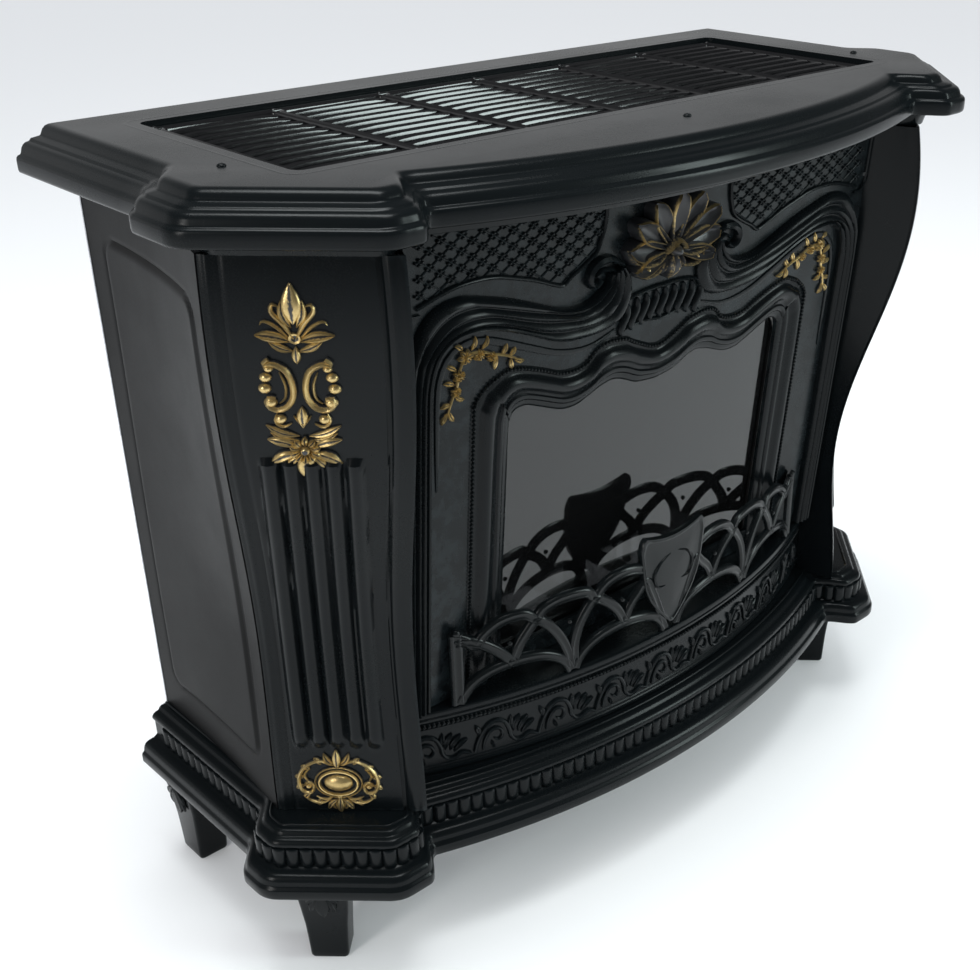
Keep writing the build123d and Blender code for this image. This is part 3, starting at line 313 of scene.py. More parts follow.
class Draft:
    """Collects corners and faces of one piece and makes its mesh object."""

    def __init__(self, name: str) -> None:
        """Starts an empty draft under the piece's name."""
        self.name = name
        self.points: list[Vector] = []
        self.faces: list[tuple[int, ...]] = []
        self.gilt: list[float] = []

    def ring(self, points: Sequence[Vector], gilt: Sequence[float] | float = 0.0) -> list[int]:
        """Adds a row of corners and gives their numbers."""
        start = len(self.points)
        self.points.extend(points)
        self.gilt.extend([gilt] * len(points) if isinstance(gilt, (int, float)) else gilt)
        return list(range(start, len(self.points)))

    def skin(self, rings: Sequence[list[int]], round_ring: bool = True, round_stack: bool = False) -> None:
        """Spans faces between neighbouring rings of equal length.

        Args:
            rings: Numbers of the corners, ring by ring.
            round_ring: True where each ring closes on itself.
            round_stack: True where the last ring joins the first.
        """
        pairs = list(zip(rings, rings[1:]))
        if round_stack:
            pairs.append((rings[-1], rings[0]))
        for low, high in pairs:
            n = len(low)
            for i in range(n if round_ring else n - 1):
                j = (i + 1) % n
                self.faces.append((low[i], low[j], high[j], high[i]))

    def cap(self, ring: Sequence[int]) -> None:
        """Closes a ring with one flat face."""
        self.faces.append(tuple(ring))

    def between(self, outer: Sequence[int], *holes: Sequence[int]) -> None:
        """Fills the flat area inside an outline and outside its holes."""
        loops = [list(outer), *[list(hole) for hole in holes]]
        numbers = [i for loop in loops for i in loop]
        for tri in tessellate_polygon([[self.points[i] for i in loop] for loop in loops]):
            self.faces.append(tuple(numbers[i] for i in tri))

    def sweep(self, face: Face, path: Sequence[Spot], profile: Profile | Callable[[float], Profile],
              closed: bool = False, lift: float = 0.0) -> None:
        """Draws a profile along a path on a surface.

        Args:
            face: Surface that carries the strip.
            path: Points in the surface's own millimetres.
            profile: Rows of offset, height and brass share, or a rule that gives them along the path.
            closed: True where the path closes on itself.
            lift: Extra height of the whole strip.
        """
        n = len(path)
        rings = []
        for i, (s, t) in enumerate(path):
            before = path[i - 1] if (i or closed) else path[0]
            after = path[(i + 1) % n] if (i < n - 1 or closed) else path[-1]
            ds, dt = after[0] - before[0], after[1] - before[1]
            size = hypot(ds, dt) or 1.0
            ns, nt = -dt / size, ds / size
            rows = profile(i / max(1, n - 1)) if callable(profile) else profile
            spots = [face.at(s + ns * a, t + nt * a, h + lift) for a, h, _ in rows]
            rings.append(self.ring(spots, [g for _, _, g in rows]))
        self.skin(rings, True, closed)
        if not closed:
            self.cap(rings[0][::-1])
            self.cap(rings[-1])

    def stroke(self, face: Face, points: Sequence[Spot], width: float, height: float, gilt: float = 1.0,
               tail: float = 0.25, lift: float = 0.0) -> None:
        """Lays a carved stroke that thins towards its ends."""
        path = even_path(smooth_path(points, 1.5), max(6, 3 * len(points)))

        def rows(u: float) -> Profile:
            """Profile of the stroke at a share of its length."""
            size = tail + (1 - tail) * sin(pi * min(1.0, max(0.0, u))) ** 0.6
            return half_round(width * size, height * (0.4 + 0.6 * size), 1.0, 4, gilt)

        self.sweep(face, path, rows, lift=lift)

    def leaf(self, face: Face, base: Spot, tip: Spot, width: float, height: float, bend: float = 0.0,
             gilt: float = 1.0, crease: float = 0.35, full: float = 0.55, lift: float = 0.0) -> None:
        """Lays a pointed leaf with a sunk middle vein.

        Args:
            face: Surface that carries the leaf.
            base: Where it grows from.
            tip: Where it ends.
            width: Greatest width.
            height: Height of its lobes.
            bend: Sideways bow of its middle, in millimetres.
            gilt: Share of brass on the high parts.
            crease: Depth of the vein as a share of the height.
            full: Where along the leaf it is widest.
            lift: Extra height of the whole leaf.
        """
        ds, dt = tip[0] - base[0], tip[1] - base[1]
        size = hypot(ds, dt) or 1.0
        middle = ((base[0] + tip[0]) / 2 - dt / size * bend, (base[1] + tip[1]) / 2 + ds / size * bend)
        path = even_path(smooth_path([base, middle, tip], 1.0), 10)

        def rows(u: float) -> Profile:
            """Profile of the leaf at a share of its length."""
            share = u / (2 * full) if u < full else 0.5 + (u - full) / (2 * (1 - full))
            open_by = max(0.06, sin(pi * share)) ** 0.8
            half = width / 2 * open_by
            up = height * (0.35 + 0.65 * open_by)
            vein = up * (1 - crease)
            return [(-half, -1.0, 0.0), (-half, 0.1, 0.0), (-half * 0.82, up * 0.8, gilt * 0.9),
                    (-half * 0.5, up, gilt), (0.0, vein, gilt * 0.25), (half * 0.5, up, gilt),
                    (half * 0.82, up * 0.8, gilt * 0.9), (half, 0.1, 0.0), (half, -1.0, 0.0)]

        self.sweep(face, path, rows, lift=lift)

    def boss(self, face: Face, spot: Spot, half: Spot, height: float, gilt: float = 1.0, sides: int = 16,
             dish: float = 0.0, lift: float = 0.0) -> None:
        """Lays a round or oval button, crowned or dished."""
        rings = []
        for step in range(6):
            turn = pi / 2 * step / 5.5
            size = cos(turn)
            rise = height * sin(turn) if step else 0.0
            if dish and step > 2:
                rise -= dish * (step - 2) / 3
            loop = []
            for i in range(sides):
                a = 2 * pi * i / sides
                loop.append(face.at(spot[0] + half[0] * size * cos(a), spot[1] + half[1] * size * sin(a),
                                    rise + lift))
            rings.append(self.ring(loop, gilt * (0.2 if dish and step > 3 else min(1.0, step / 2))))
        under = [face.at(spot[0] + half[0] * cos(2 * pi * i / sides),
                         spot[1] + half[1] * sin(2 * pi * i / sides),
                         -1.0 + lift) for i in range(sides)]
        rings.insert(0, self.ring(under))
        self.skin(rings)
        self.cap(rings[0][::-1])
        self.cap(rings[-1])

    def build(self, material: bpy.types.Material, smooth: float = 38.0) -> bpy.types.Object:
        """Makes the object with outward faces, sharp edges and its material.

        Args:
            material: Finish of the piece.
            smooth: Angle in degrees above which an edge stays sharp.

        Returns:
            The linked mesh object at the origin.
        """
        mesh = bpy.data.meshes.new(self.name)
        mesh.from_pydata([tuple(p) for p in self.points], [], self.faces)
        share = mesh.attributes.new("gilt", "FLOAT", "POINT")
        share.data.foreach_set("value", self.gilt)
        work = bmesh.new()
        work.from_mesh(mesh)
        bmesh.ops.remove_doubles(work, verts=work.verts, dist=2e-6)
        bmesh.ops.dissolve_degenerate(work, dist=1e-6, edges=work.edges)
        bmesh.ops.recalc_face_normals(work, faces=work.faces)
        work.to_mesh(mesh)
        work.free()
        mesh.materials.append(material)
        finish_mesh(mesh, smooth)
        item = bpy.data.objects.new(self.name, mesh)
        bpy.context.scene.collection.objects.link(item)
        return item


def finish_mesh(mesh: bpy.types.Mesh, angle: float) -> None:
    """Smooths a mesh and keeps edges above an angle sharp."""
    mesh.polygons.foreach_set("use_smooth", [True] * len(mesh.polygons))
    mesh.set_sharp_from_angle(angle=radians(angle))
    mesh.update()


def settle(item: bpy.types.Object, *nodes: str, body: Body = Body.HEATER, slot: Slot = Slot.SATIN) -> None:
    """Lets a piece ride on its body and hides the CAD nodes that it replaces."""
    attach(item, body.value)
    if nodes:
        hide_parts(*nodes)
    LOG.info("%s: %d faces on %s", item.name, len(item.data.polygons), body.value)


# Shader groups and finishes
class Nodes:
    """Short way to place and wire nodes in a tree."""

    def __init__(self, tree: bpy.types.NodeTree) -> None:
        """Keeps the tree that the nodes go into."""
        self.tree = tree

    def feed(self, node: bpy.types.Node, feeds: dict) -> bpy.types.Node:
        """Feeds a node's inputs, each from an output or with a plain value."""
        for key, value in feeds.items():
            if isinstance(value, bpy.types.NodeSocket):
                self.tree.links.new(value, node.inputs[key])
            else:
                node.inputs[key].default_value = value
        return node

    def add(self, kind: str, feeds: dict | None = None, **settings: object) -> bpy.types.Node:
        """Adds a node, sets its named properties and feeds its inputs."""
        node = self.tree.nodes.new(kind)
        for key, value in settings.items():
            setattr(node, key, value)
        return self.feed(node, feeds or {})

    def math(self, operation: str, a: object, b: object) -> bpy.types.NodeSocket:
        """Adds a Math node fed by sockets or numbers and gives its output."""
        return self.add("ShaderNodeMath", {0: a, 1: b}, operation=operation).outputs[0]

    def noise(self, vector: bpy.types.NodeSocket, scale: object, detail: float,
              rough: float) -> bpy.types.NodeSocket:
        """Adds a noise texture and gives its value."""
        feeds = {"Vector": vector, "Scale": scale, "Detail": detail, "Roughness": rough}
        return self.add("ShaderNodeTexNoise", feeds).outputs[0]

    def ramp(self, value: bpy.types.NodeSocket, low: object, high: object,
             to: Spot = (0.0, 1.0)) -> bpy.types.NodeSocket:
        """Maps a value between two limits onto a span, clamped."""
        feeds = {"Value": value, "From Min": low, "From Max": high, "To Min": to[0], "To Max": to[1]}
        return self.add("ShaderNodeMapRange", feeds, clamp=True).outputs[0]


SOCKETS = {float: "NodeSocketFloat", int: "NodeSocketInt", tuple: "NodeSocketVector"}


def open_group(name: str, inputs: dict[str, object], *outputs: str,
               geometry: bool = False) -> tuple[Nodes, bpy.types.Node, bpy.types.Node]:
    """Starts a node group with named sockets.

    Args:
        name: Name of the group.
        inputs: Default of each input, or the name of its socket type where it has no default.
        outputs: Names of the outputs, which carry numbers or, in a geometry tree, geometry.
        geometry: True for a geometry tree.

    Returns:
        The wiring helper, the input node and the output node.
    """
    tree = bpy.data.node_groups.new(name, "GeometryNodeTree" if geometry else "ShaderNodeTree")
    for label, default in inputs.items():
        bare = isinstance(default, str)
        socket = tree.interface.new_socket(name=label, in_out="INPUT",
                                           socket_type=default if bare else SOCKETS[type(default)])
        if not bare:
            socket.default_value = default
    for label in outputs:
        tree.interface.new_socket(name=label, in_out="OUTPUT",
                                  socket_type="NodeSocketGeometry" if geometry else "NodeSocketFloat")
    net = Nodes(tree)
    return net, net.add("NodeGroupInput"), net.add("NodeGroupOutput")


def coat_grain_group() -> bpy.types.NodeTree:
    """Fine skin of a sprayed coat: its height and how its gloss varies."""
    net, source, result = open_group("coat_grain", {"Grain Scale": 700.0, "Cloud Scale": 9.0},
                                     "Height", "Gloss")
    coords = net.add("ShaderNodeTexCoord").outputs["Object"]
    fine = net.noise(coords, source.outputs["Grain Scale"], 2.0, 0.45)
    cloud = net.noise(coords, source.outputs["Cloud Scale"], 4.0, 0.6)
    mixed = net.math("ADD", net.math("MULTIPLY", fine, 0.35), net.math("MULTIPLY", cloud, 0.65))
    net.feed(result, {"Height": fine, "Gloss": net.ramp(mixed, 0.3, 0.7)})
    return net.tree


def edge_wear_group() -> bpy.types.NodeTree:
    """Mask of edges where a coat is rubbed thin, broken up by a noise."""
    net, source, result = open_group("edge_wear", {"Low": 0.53, "High": 0.62, "Break Scale": 60.0}, "Worn")
    given = source.outputs
    coords = net.add("ShaderNodeTexCoord").outputs["Object"]
    broken = net.noise(coords, given["Break Scale"], 4.0, 0.65)
    edge = net.ramp(net.add("ShaderNodeNewGeometry").outputs["Pointiness"], given["Low"], given["High"])
    net.feed(result, {"Worn": net.math("MULTIPLY", edge, net.ramp(broken, 0.4, 0.62))})
    return net.tree


def rubbed_gilt_group() -> bpy.types.NodeTree:
    """Mask of brass rubbed onto the high parts of a black casting."""
    net, source, result = open_group("rubbed_gilt", {"Reach": 0.5, "Speckle Scale": 420.0}, "Gilt")
    reach = source.outputs["Reach"]
    share = net.add("ShaderNodeAttribute", attribute_name="gilt").outputs["Fac"]
    coords = net.add("ShaderNodeTexCoord").outputs["Object"]
    speck = net.noise(coords, source.outputs["Speckle Scale"], 4.0, 0.6)
    total = net.math("ADD", share, net.math("MULTIPLY", net.math("SUBTRACT", speck, 0.5), 0.9))
    net.feed(result, {"Gilt": net.ramp(total, reach, net.math("ADD", reach, 0.28))})
    return net.tree


def dust_group() -> bpy.types.NodeTree:
    """Mask of thin dust that settles on surfaces that look upwards."""
    net, source, result = open_group("settled_dust", {"Amount": 0.1}, "Dust")
    split = net.add("ShaderNodeSeparateXYZ", {0: net.add("ShaderNodeNewGeometry").outputs["Normal"]})
    coords = net.add("ShaderNodeTexCoord").outputs["Object"]
    cloud = net.ramp(net.noise(coords, 24.0, 6.0, 0.7), 0.42, 0.75)
    lying = net.math("MULTIPLY", net.ramp(split.outputs["Z"], 0.7, 1.0), cloud)
    net.feed(result, {"Dust": net.math("MULTIPLY", lying, source.outputs["Amount"])})
    return net.tree


def brushed_group() -> bpy.types.NodeTree:
    """Streaks and spangle of bare sheet metal."""
    net, source, result = open_group("sheet_grain", {"Stretch": (30.0, 30.0, 900.0)}, "Streak", "Spangle")
    coords = net.add("ShaderNodeTexCoord").outputs["Object"]
    scaled = net.add("ShaderNodeVectorMath", {0: coords, 1: source.outputs["Stretch"]},
                     operation="MULTIPLY")
    cells = net.add("ShaderNodeTexVoronoi", {"Vector": coords, "Scale": 90.0})
    grey = net.add("ShaderNodeSeparateColor", {0: cells.outputs["Color"]})
    net.feed(result, {"Streak": net.noise(scaled.outputs[0], 1.0, 3.0, 0.6), "Spangle": grey.outputs[0]})
    return net.tree


@dataclass(frozen=True)
class CoatFinish:
    """A sprayed or enamelled coat on metal."""

    name: str
    colour: Row
    worn: Row
    rough: Spot = (0.3, 0.42)
    grain: float = 700.0
    bump: float = 0.05
    coat: float = 0.0
    coat_rough: float = 0.05
    dust: float = 0.05
    wear: Spot = (0.55, 0.66)
    shine: float = 0.3

    def make(self, groups: dict[str, bpy.types.NodeTree]) -> bpy.types.Material:
        """Builds the coat's material from the shared shader groups."""
        material, net, shader = open_material(self.name)
        grain = place_group(net, groups["coat_grain"], {"Grain Scale": self.grain})
        wear = place_group(net, groups["edge_wear"], {"Low": self.wear[0], "High": self.wear[1]})
        dust = place_group(net, groups["settled_dust"], {"Amount": self.dust}).outputs["Dust"]
        base = mix_colour(net, wear.outputs["Worn"], self.colour, self.worn)
        rough = net.ramp(grain.outputs["Gloss"], 0.0, 1.0, self.rough)
        net.feed(shader, {
            "Base Color": mix_colour(net, dust, base, (0.32, 0.31, 0.29)),
            "Roughness": net.math("ADD", rough, dust), "Specular IOR Level": self.shine,
            "Coat Weight": self.coat, "Coat Roughness": self.coat_rough})
        add_bump(net, shader, grain.outputs["Height"], self.bump, 0.0004)
        return material


@dataclass(frozen=True)
class GiltFinish:
    """Brass rubbed over a black casting."""

    name: str
    brass: Row = (0.62, 0.47, 0.22)
    black: Row = (0.016, 0.017, 0.019)
    reach: float = 0.42

    def make(self, groups: dict[str, bpy.types.NodeTree]) -> bpy.types.Material:
        """Builds the rubbed brass material from the shared shader groups."""
        material, net, shader = open_material(self.name)
        gilt = place_group(net, groups["rubbed_gilt"], {"Reach": self.reach}).outputs["Gilt"]
        grain = place_group(net, groups["coat_grain"], {"Grain Scale": 900.0, "Cloud Scale": 60.0})
        tone = mix_colour(net, grain.outputs["Gloss"], self.brass, (0.42, 0.30, 0.12))
        net.feed(shader, {
            "Base Color": mix_colour(net, gilt, self.black, tone),
            "Metallic": net.math("MULTIPLY", gilt, 0.92),
            "Roughness": net.ramp(grain.outputs["Gloss"], 0.0, 1.0, (0.26, 0.46))})
        add_bump(net, shader, grain.outputs["Height"], 0.25, 0.0004)
        return material


@dataclass(frozen=True)
class MetalFinish:
    """Bare, plated or cast metal."""

    name: str
    light: Row
    dark: Row
    metallic: float = 1.0
    rough: Spot = (0.25, 0.45)
    stretch: Row = (30.0, 30.0, 900.0)
    spangle: float = 0.3
    bump: float = 0.08

    def make(self, groups: dict[str, bpy.types.NodeTree]) -> bpy.types.Material:
        """Builds the metal's material from the shared shader groups."""
        material, net, shader = open_material(self.name)
        grain = place_group(net, groups["sheet_grain"], {"Stretch": self.stretch})
        blend = net.math("ADD", net.math("MULTIPLY", grain.outputs["Streak"], 1.0 - self.spangle),
                         net.math("MULTIPLY", grain.outputs["Spangle"], self.spangle))
        net.feed(shader, {
            "Base Color": mix_colour(net, blend, self.light, self.dark),
            "Roughness": net.ramp(blend, 0.0, 1.0, self.rough), "Metallic": self.metallic})
        add_bump(net, shader, grain.outputs["Streak"], self.bump, 0.0003)
        return material


@dataclass(frozen=True)
class GlassFinish:
    """Smoked heat-proof glass."""

    name: str
    tint: Row = (0.03, 0.031, 0.032)

    def make(self, groups: dict[str, bpy.types.NodeTree]) -> bpy.types.Material:
        """Builds the glass material from the shared shader groups."""
        material, net, shader = open_material(self.name)
        grain = place_group(net, groups["coat_grain"], {"Grain Scale": 12.0, "Cloud Scale": 5.0})
        gloss = grain.outputs["Gloss"]
        net.feed(shader, {
            "Base Color": mix_colour(net, gloss, self.tint, tuple(0.9 * c for c in self.tint)),
            "Roughness": net.ramp(gloss, 0.0, 1.0, (0.015, 0.035)), "Transmission Weight": 0.9,
            "IOR": 1.5, "Specular IOR Level": 0.22})
        add_bump(net, shader, grain.outputs["Height"], 0.01, 0.0005)
        return material


def open_material(name: str) -> tuple[bpy.types.Material, Nodes, bpy.types.Node]:
    """Starts a material that holds one Principled shader."""
    material = bpy.data.materials.new(name)
    material.use_nodes = True
    net = Nodes(material.node_tree)
    return material, net, material.node_tree.nodes["Principled BSDF"]


def place_group(net: Nodes, group: bpy.types.NodeTree, values: dict[str, object]) -> bpy.types.Node:
    """Places a shared group in a material with its own values."""
    return net.add("ShaderNodeGroup", values, node_tree=group)


def mix_colour(net: Nodes, share: bpy.types.NodeSocket, first: object,
               second: object) -> bpy.types.NodeSocket:
    """Mixes two colours, given as sockets or as numbers, by a mask."""
    low, high = (c if isinstance(c, bpy.types.NodeSocket) else (*c, 1.0) for c in (first, second))
    return net.add("ShaderNodeMix", {0: share, 6: low, 7: high}, data_type="RGBA").outputs[2]


def add_bump(net: Nodes, shader: bpy.types.Node, height: bpy.types.NodeSocket, strength: float,
             distance: float) -> None:
    """Feeds the shader's Normal from a height."""
    bump = net.add("ShaderNodeBump", {"Strength": strength, "Distance": distance, "Height": height})
    net.feed(shader, {"Normal": bump.outputs["Normal"]})


class Finishes:
    """All finishes of the heater, built once."""

    def __init__(self) -> None:
        """Builds the shared groups and the materials."""
        groups = {"coat_grain": coat_grain_group(), "edge_wear": edge_wear_group(),
                  "rubbed_gilt": rubbed_gilt_group(), "settled_dust": dust_group(),
                  "sheet_grain": brushed_group()}
        self.satin = CoatFinish("satin black coat", (0.003, 0.0042, 0.0048), (0.014, 0.019, 0.021),
                                (0.22, 0.30), dust=0.001, shine=0.14).make(groups)
        self.side = CoatFinish("satin side sheet", (0.0035, 0.0036, 0.0038), (0.012, 0.012, 0.013),
                               (0.36, 0.48), 900.0, 0.04, dust=0.001, shine=0.07).make(groups)
        self.enamel = CoatFinish("gloss black enamel", (0.003, 0.003, 0.0035), (0.012, 0.012, 0.013),
                                 (0.09, 0.15), 120.0, 0.05, dust=0.004, shine=0.55).make(groups)
        self.fence = CoatFinish("fence enamel", (0.0035, 0.0046, 0.005), (0.016, 0.02, 0.022),
                                (0.2, 0.28), 500.0, 0.05, dust=0.001, shine=0.2).make(groups)
        self.brass = GiltFinish("rubbed brass").make(groups)
        self.shell = GiltFinish("brass on edges", (0.5, 0.39, 0.2), reach=0.66).make(groups)
        self.zinc = MetalFinish("galvanised sheet", (0.62, 0.63, 0.65), (0.4, 0.41, 0.43),
                                spangle=0.7).make(groups)
        self.steel = MetalFinish("bare steel", (0.6, 0.6, 0.6), (0.36, 0.36, 0.37)).make(groups)
        self.alloy = MetalFinish("cast alloy", (0.66, 0.66, 0.67), (0.5, 0.5, 0.51), rough=(0.4, 0.6),
                                 stretch=(300.0, 300.0, 300.0)).make(groups)
        self.pipe = MetalFinish("drawn pipe", (0.78, 0.78, 0.79), (0.62, 0.62, 0.64),
                                rough=(0.2, 0.35)).make(groups)
        self.fitting = MetalFinish("turned brass", (0.78, 0.6, 0.27), (0.6, 0.42, 0.15), rough=(0.18, 0.32),
                                   stretch=(700.0, 30.0, 700.0), spangle=0.1).make(groups)
        self.iron = MetalFinish("cast iron", (0.09, 0.085, 0.08), (0.04, 0.04, 0.042), 0.6, (0.55, 0.75),
                                (260.0, 260.0, 260.0), 0.2, 0.3).make(groups)
        self.cord = MetalFinish("woven seal", (0.34, 0.34, 0.33), (0.16, 0.16, 0.16), 0.0, (0.8, 0.95),
                                (500.0, 500.0, 500.0), 0.4, 0.6).make(groups)
        self.soot = MetalFinish("heat-darkened sheet", (0.10, 0.10, 0.105), (0.045, 0.043, 0.042), 0.8,
                                (0.4, 0.6), spangle=0.4).make(groups)
        self.knob = CoatFinish("moulded knob", (0.02, 0.02, 0.021), (0.05, 0.05, 0.05), (0.42, 0.55),
                               1200.0, 0.08).make(groups)
        self.glass = GlassFinish("smoked glass").make(groups)


# Geometry Nodes
def close_tree(net: Nodes, source: bpy.types.Node, result: bpy.types.Node,
               geometry: bpy.types.NodeSocket) -> bpy.types.NodeTree:
    """Ends a tree in Realize Instances and Set Material."""
    real = net.add("GeometryNodeRealizeInstances", {"Geometry": geometry})
    paint = net.add("GeometryNodeSetMaterial", {"Geometry": real.outputs[0],
                                                "Material": source.outputs["Finish"]})
    net.feed(result, {0: paint.outputs[0]})
    return net.tree


def seated_tree() -> bpy.types.NodeTree:
    """Sets a carved unit on each point, turned by the point's own directions."""
    net, source, result = open_group("seated_units", {
        "Geometry": "NodeSocketGeometry", "Unit": "NodeSocketObject", "Size": 1.0, "Unevenness": 0.0,
        "Seed": 7, "Finish": "NodeSocketMaterial"}, "Geometry", geometry=True)
    given = source.outputs
    unit = net.add("GeometryNodeObjectInfo", {"Object": given["Unit"]})
    out, along = (net.add("GeometryNodeInputNamedAttribute", {"Name": label}, data_type="FLOAT_VECTOR")
                  for label in ("out", "along"))
    stand = net.add("FunctionNodeAlignRotationToVector", {"Vector": out.outputs[0]}, axis="Z")
    face = net.add("FunctionNodeAlignRotationToVector",
                   {"Rotation": stand.outputs[0], "Vector": along.outputs[0]}, axis="X", pivot_axis="Z")
    vary = net.add("FunctionNodeRandomValue", {
        "Seed": given["Seed"], 2: net.math("SUBTRACT", given["Size"], given["Unevenness"]),
        3: net.math("ADD", given["Size"], given["Unevenness"])}, data_type="FLOAT")
    seat = net.add("GeometryNodeInstanceOnPoints", {
        "Points": given["Geometry"], "Instance": unit.outputs["Geometry"], "Rotation": face.outputs[0],
        "Scale": vary.outputs[1]})
    return close_tree(net, source, result, seat.outputs[0])


def row_tree() -> bpy.types.NodeTree:
    """Repeats a unit over a grid of columns and rows."""
    net, source, result = open_group("rows_of_units", {
        "Geometry": "NodeSocketGeometry", "Unit": "NodeSocketObject", "Columns": 6, "Rows": 11,
        "Column Step": (0.1, 0.0, 0.0), "Row Step": (0.0, 0.02, 0.0), "Start": (0.0, 0.0, 0.0),
        "Finish": "NodeSocketMaterial"}, "Geometry", geometry=True)
    given = source.outputs
    unit = net.add("GeometryNodeObjectInfo", {"Object": given["Unit"]})
    across = net.add("GeometryNodeMeshLine", {
        "Count": given["Columns"], "Start Location": given["Start"], "Offset": given["Column Step"]},
        mode="OFFSET")
    down = net.add("GeometryNodeMeshLine", {"Count": given["Rows"], "Offset": given["Row Step"]},
                   mode="OFFSET")
    rows = net.add("GeometryNodeInstanceOnPoints", {"Points": down.outputs[0],
                                                    "Instance": unit.outputs["Geometry"]})
    grid = net.add("GeometryNodeInstanceOnPoints", {"Points": across.outputs[0],
                                                    "Instance": rows.outputs[0]})
    return close_tree(net, source, result, grid.outputs[0])


def run_tree(name: str, tree: bpy.types.NodeTree, base: bpy.types.Mesh, values: dict[str, object],
             smooth: float = 38.0) -> bpy.types.Object:
    """Runs a geometry tree and keeps its result as a plain mesh.

    Args:
        name: Name of the finished piece.
        tree: The geometry tree.
        base: Mesh that the tree starts from.
        values: Value of each named input.
        smooth: Angle above which an edge stays sharp.

    Returns:
        The finished object at the origin, without modifiers.
    """
    maker = bpy.data.objects.new(name + "_maker", base)
    bpy.context.scene.collection.objects.link(maker)
    modifier = maker.modifiers.new("tree", "NODES")
    modifier.node_group = tree
    sockets = {item.name: item.identifier for item in tree.interface.items_tree if item.in_out == "INPUT"}
    for label, value in values.items():
        modifier[sockets[label]] = value
    maker.update_tag()
    bpy.context.view_layer.update()
    graph = bpy.context.evaluated_depsgraph_get()
    mesh = bpy.data.meshes.new_from_object(maker.evaluated_get(graph), preserve_all_data_layers=True,
                                           depsgraph=graph)
    mesh.name = name
    for label in ("out", "along"):
        if label in mesh.attributes:
            mesh.attributes.remove(mesh.attributes[label])
    finish_mesh(mesh, smooth)
    bpy.data.objects.remove(maker)
    item = bpy.data.objects.new(name, mesh)
    bpy.context.scene.collection.objects.link(item)
    return item


def seats(name: str, spots: Sequence[tuple[Vector, Vector, Vector]]) -> bpy.types.Mesh:
    """Makes a mesh of loose points that carry their directions.

    Args:
        name: Name of the mesh.
        spots: Place, way along and way out of each point.

    Returns:
        The mesh.
    """
    mesh = bpy.data.meshes.new(name)
    mesh.from_pydata([tuple(spot) for spot, _, _ in spots], [], [])
    for label, index in (("along", 1), ("out", 2)):
        layer = mesh.attributes.new(label, "FLOAT_VECTOR", "POINT")
        layer.data.foreach_set("vector", [c for spot in spots for c in spot[index]])
    return mesh


def string_spots(face: Face, path: Sequence[Spot], pitch: float, lift: float = 0.0) -> list[tuple]:
    """Evenly spaced seats along a path on a surface, each turned along the path."""
    length = sum(hypot(b[0] - a[0], b[1] - a[1]) for a, b in zip(path, path[1:]))
    run = even_path(path, max(2, round(length / pitch) + 1))
    spots = []
    for i, (s, t) in enumerate(run):
        back, ahead = run[max(0, i - 1)], run[min(len(run) - 1, i + 1)]
        here = face.at(s, t, lift)
        along = face.at(ahead[0], ahead[1], lift) - face.at(back[0], back[1], lift)
        spots.append((here, along.normalized(), (face.at(s, t, lift + 1.0) - here).normalized()))
    return spots


class Repeats:
    """The geometry trees of the heater and the units that they repeat."""

    def __init__(self) -> None:
        """Builds the trees."""
        self.seated = seated_tree()
        self.rows = row_tree()

    def seat(self, name: str, unit: bpy.types.Object, spots: Sequence[tuple], finish: bpy.types.Material,
             size: float = 1.0, uneven: float = 0.0) -> bpy.types.Object:
        """Sets a unit on each seat and removes the unit.

        Args:
            name: Name of the piece.
            unit: Object that is repeated, standing on the origin.
            spots: Place and directions of each copy.
            finish: Material of the piece.
            size: Scale of the copies.
            uneven: How far the copies' sizes differ.

        Returns:
            The finished piece.
        """
        item = run_tree(name, self.seated, seats(name, spots), {
            "Unit": unit, "Size": size, "Unevenness": uneven, "Seed": 7, "Finish": finish})
        bpy.data.objects.remove(unit)
        return item


UNIT_FACE = FlatFace((0.0, -REAR_SHIFT, 0.0), (1.0, 0.0, 0.0), (0.0, 1.0, 0.0))


def bead_unit(radius: float, height: float, finish: bpy.types.Material,
              length: float = 1.0) -> bpy.types.Object:
    """A round bead that stands on the origin, a little sunk."""
    draft = Draft("bead_unit")
    draft.boss(UNIT_FACE, (0.0, 0.0), (radius * length, radius), height, 0.5, 10)
    return draft.build(finish)


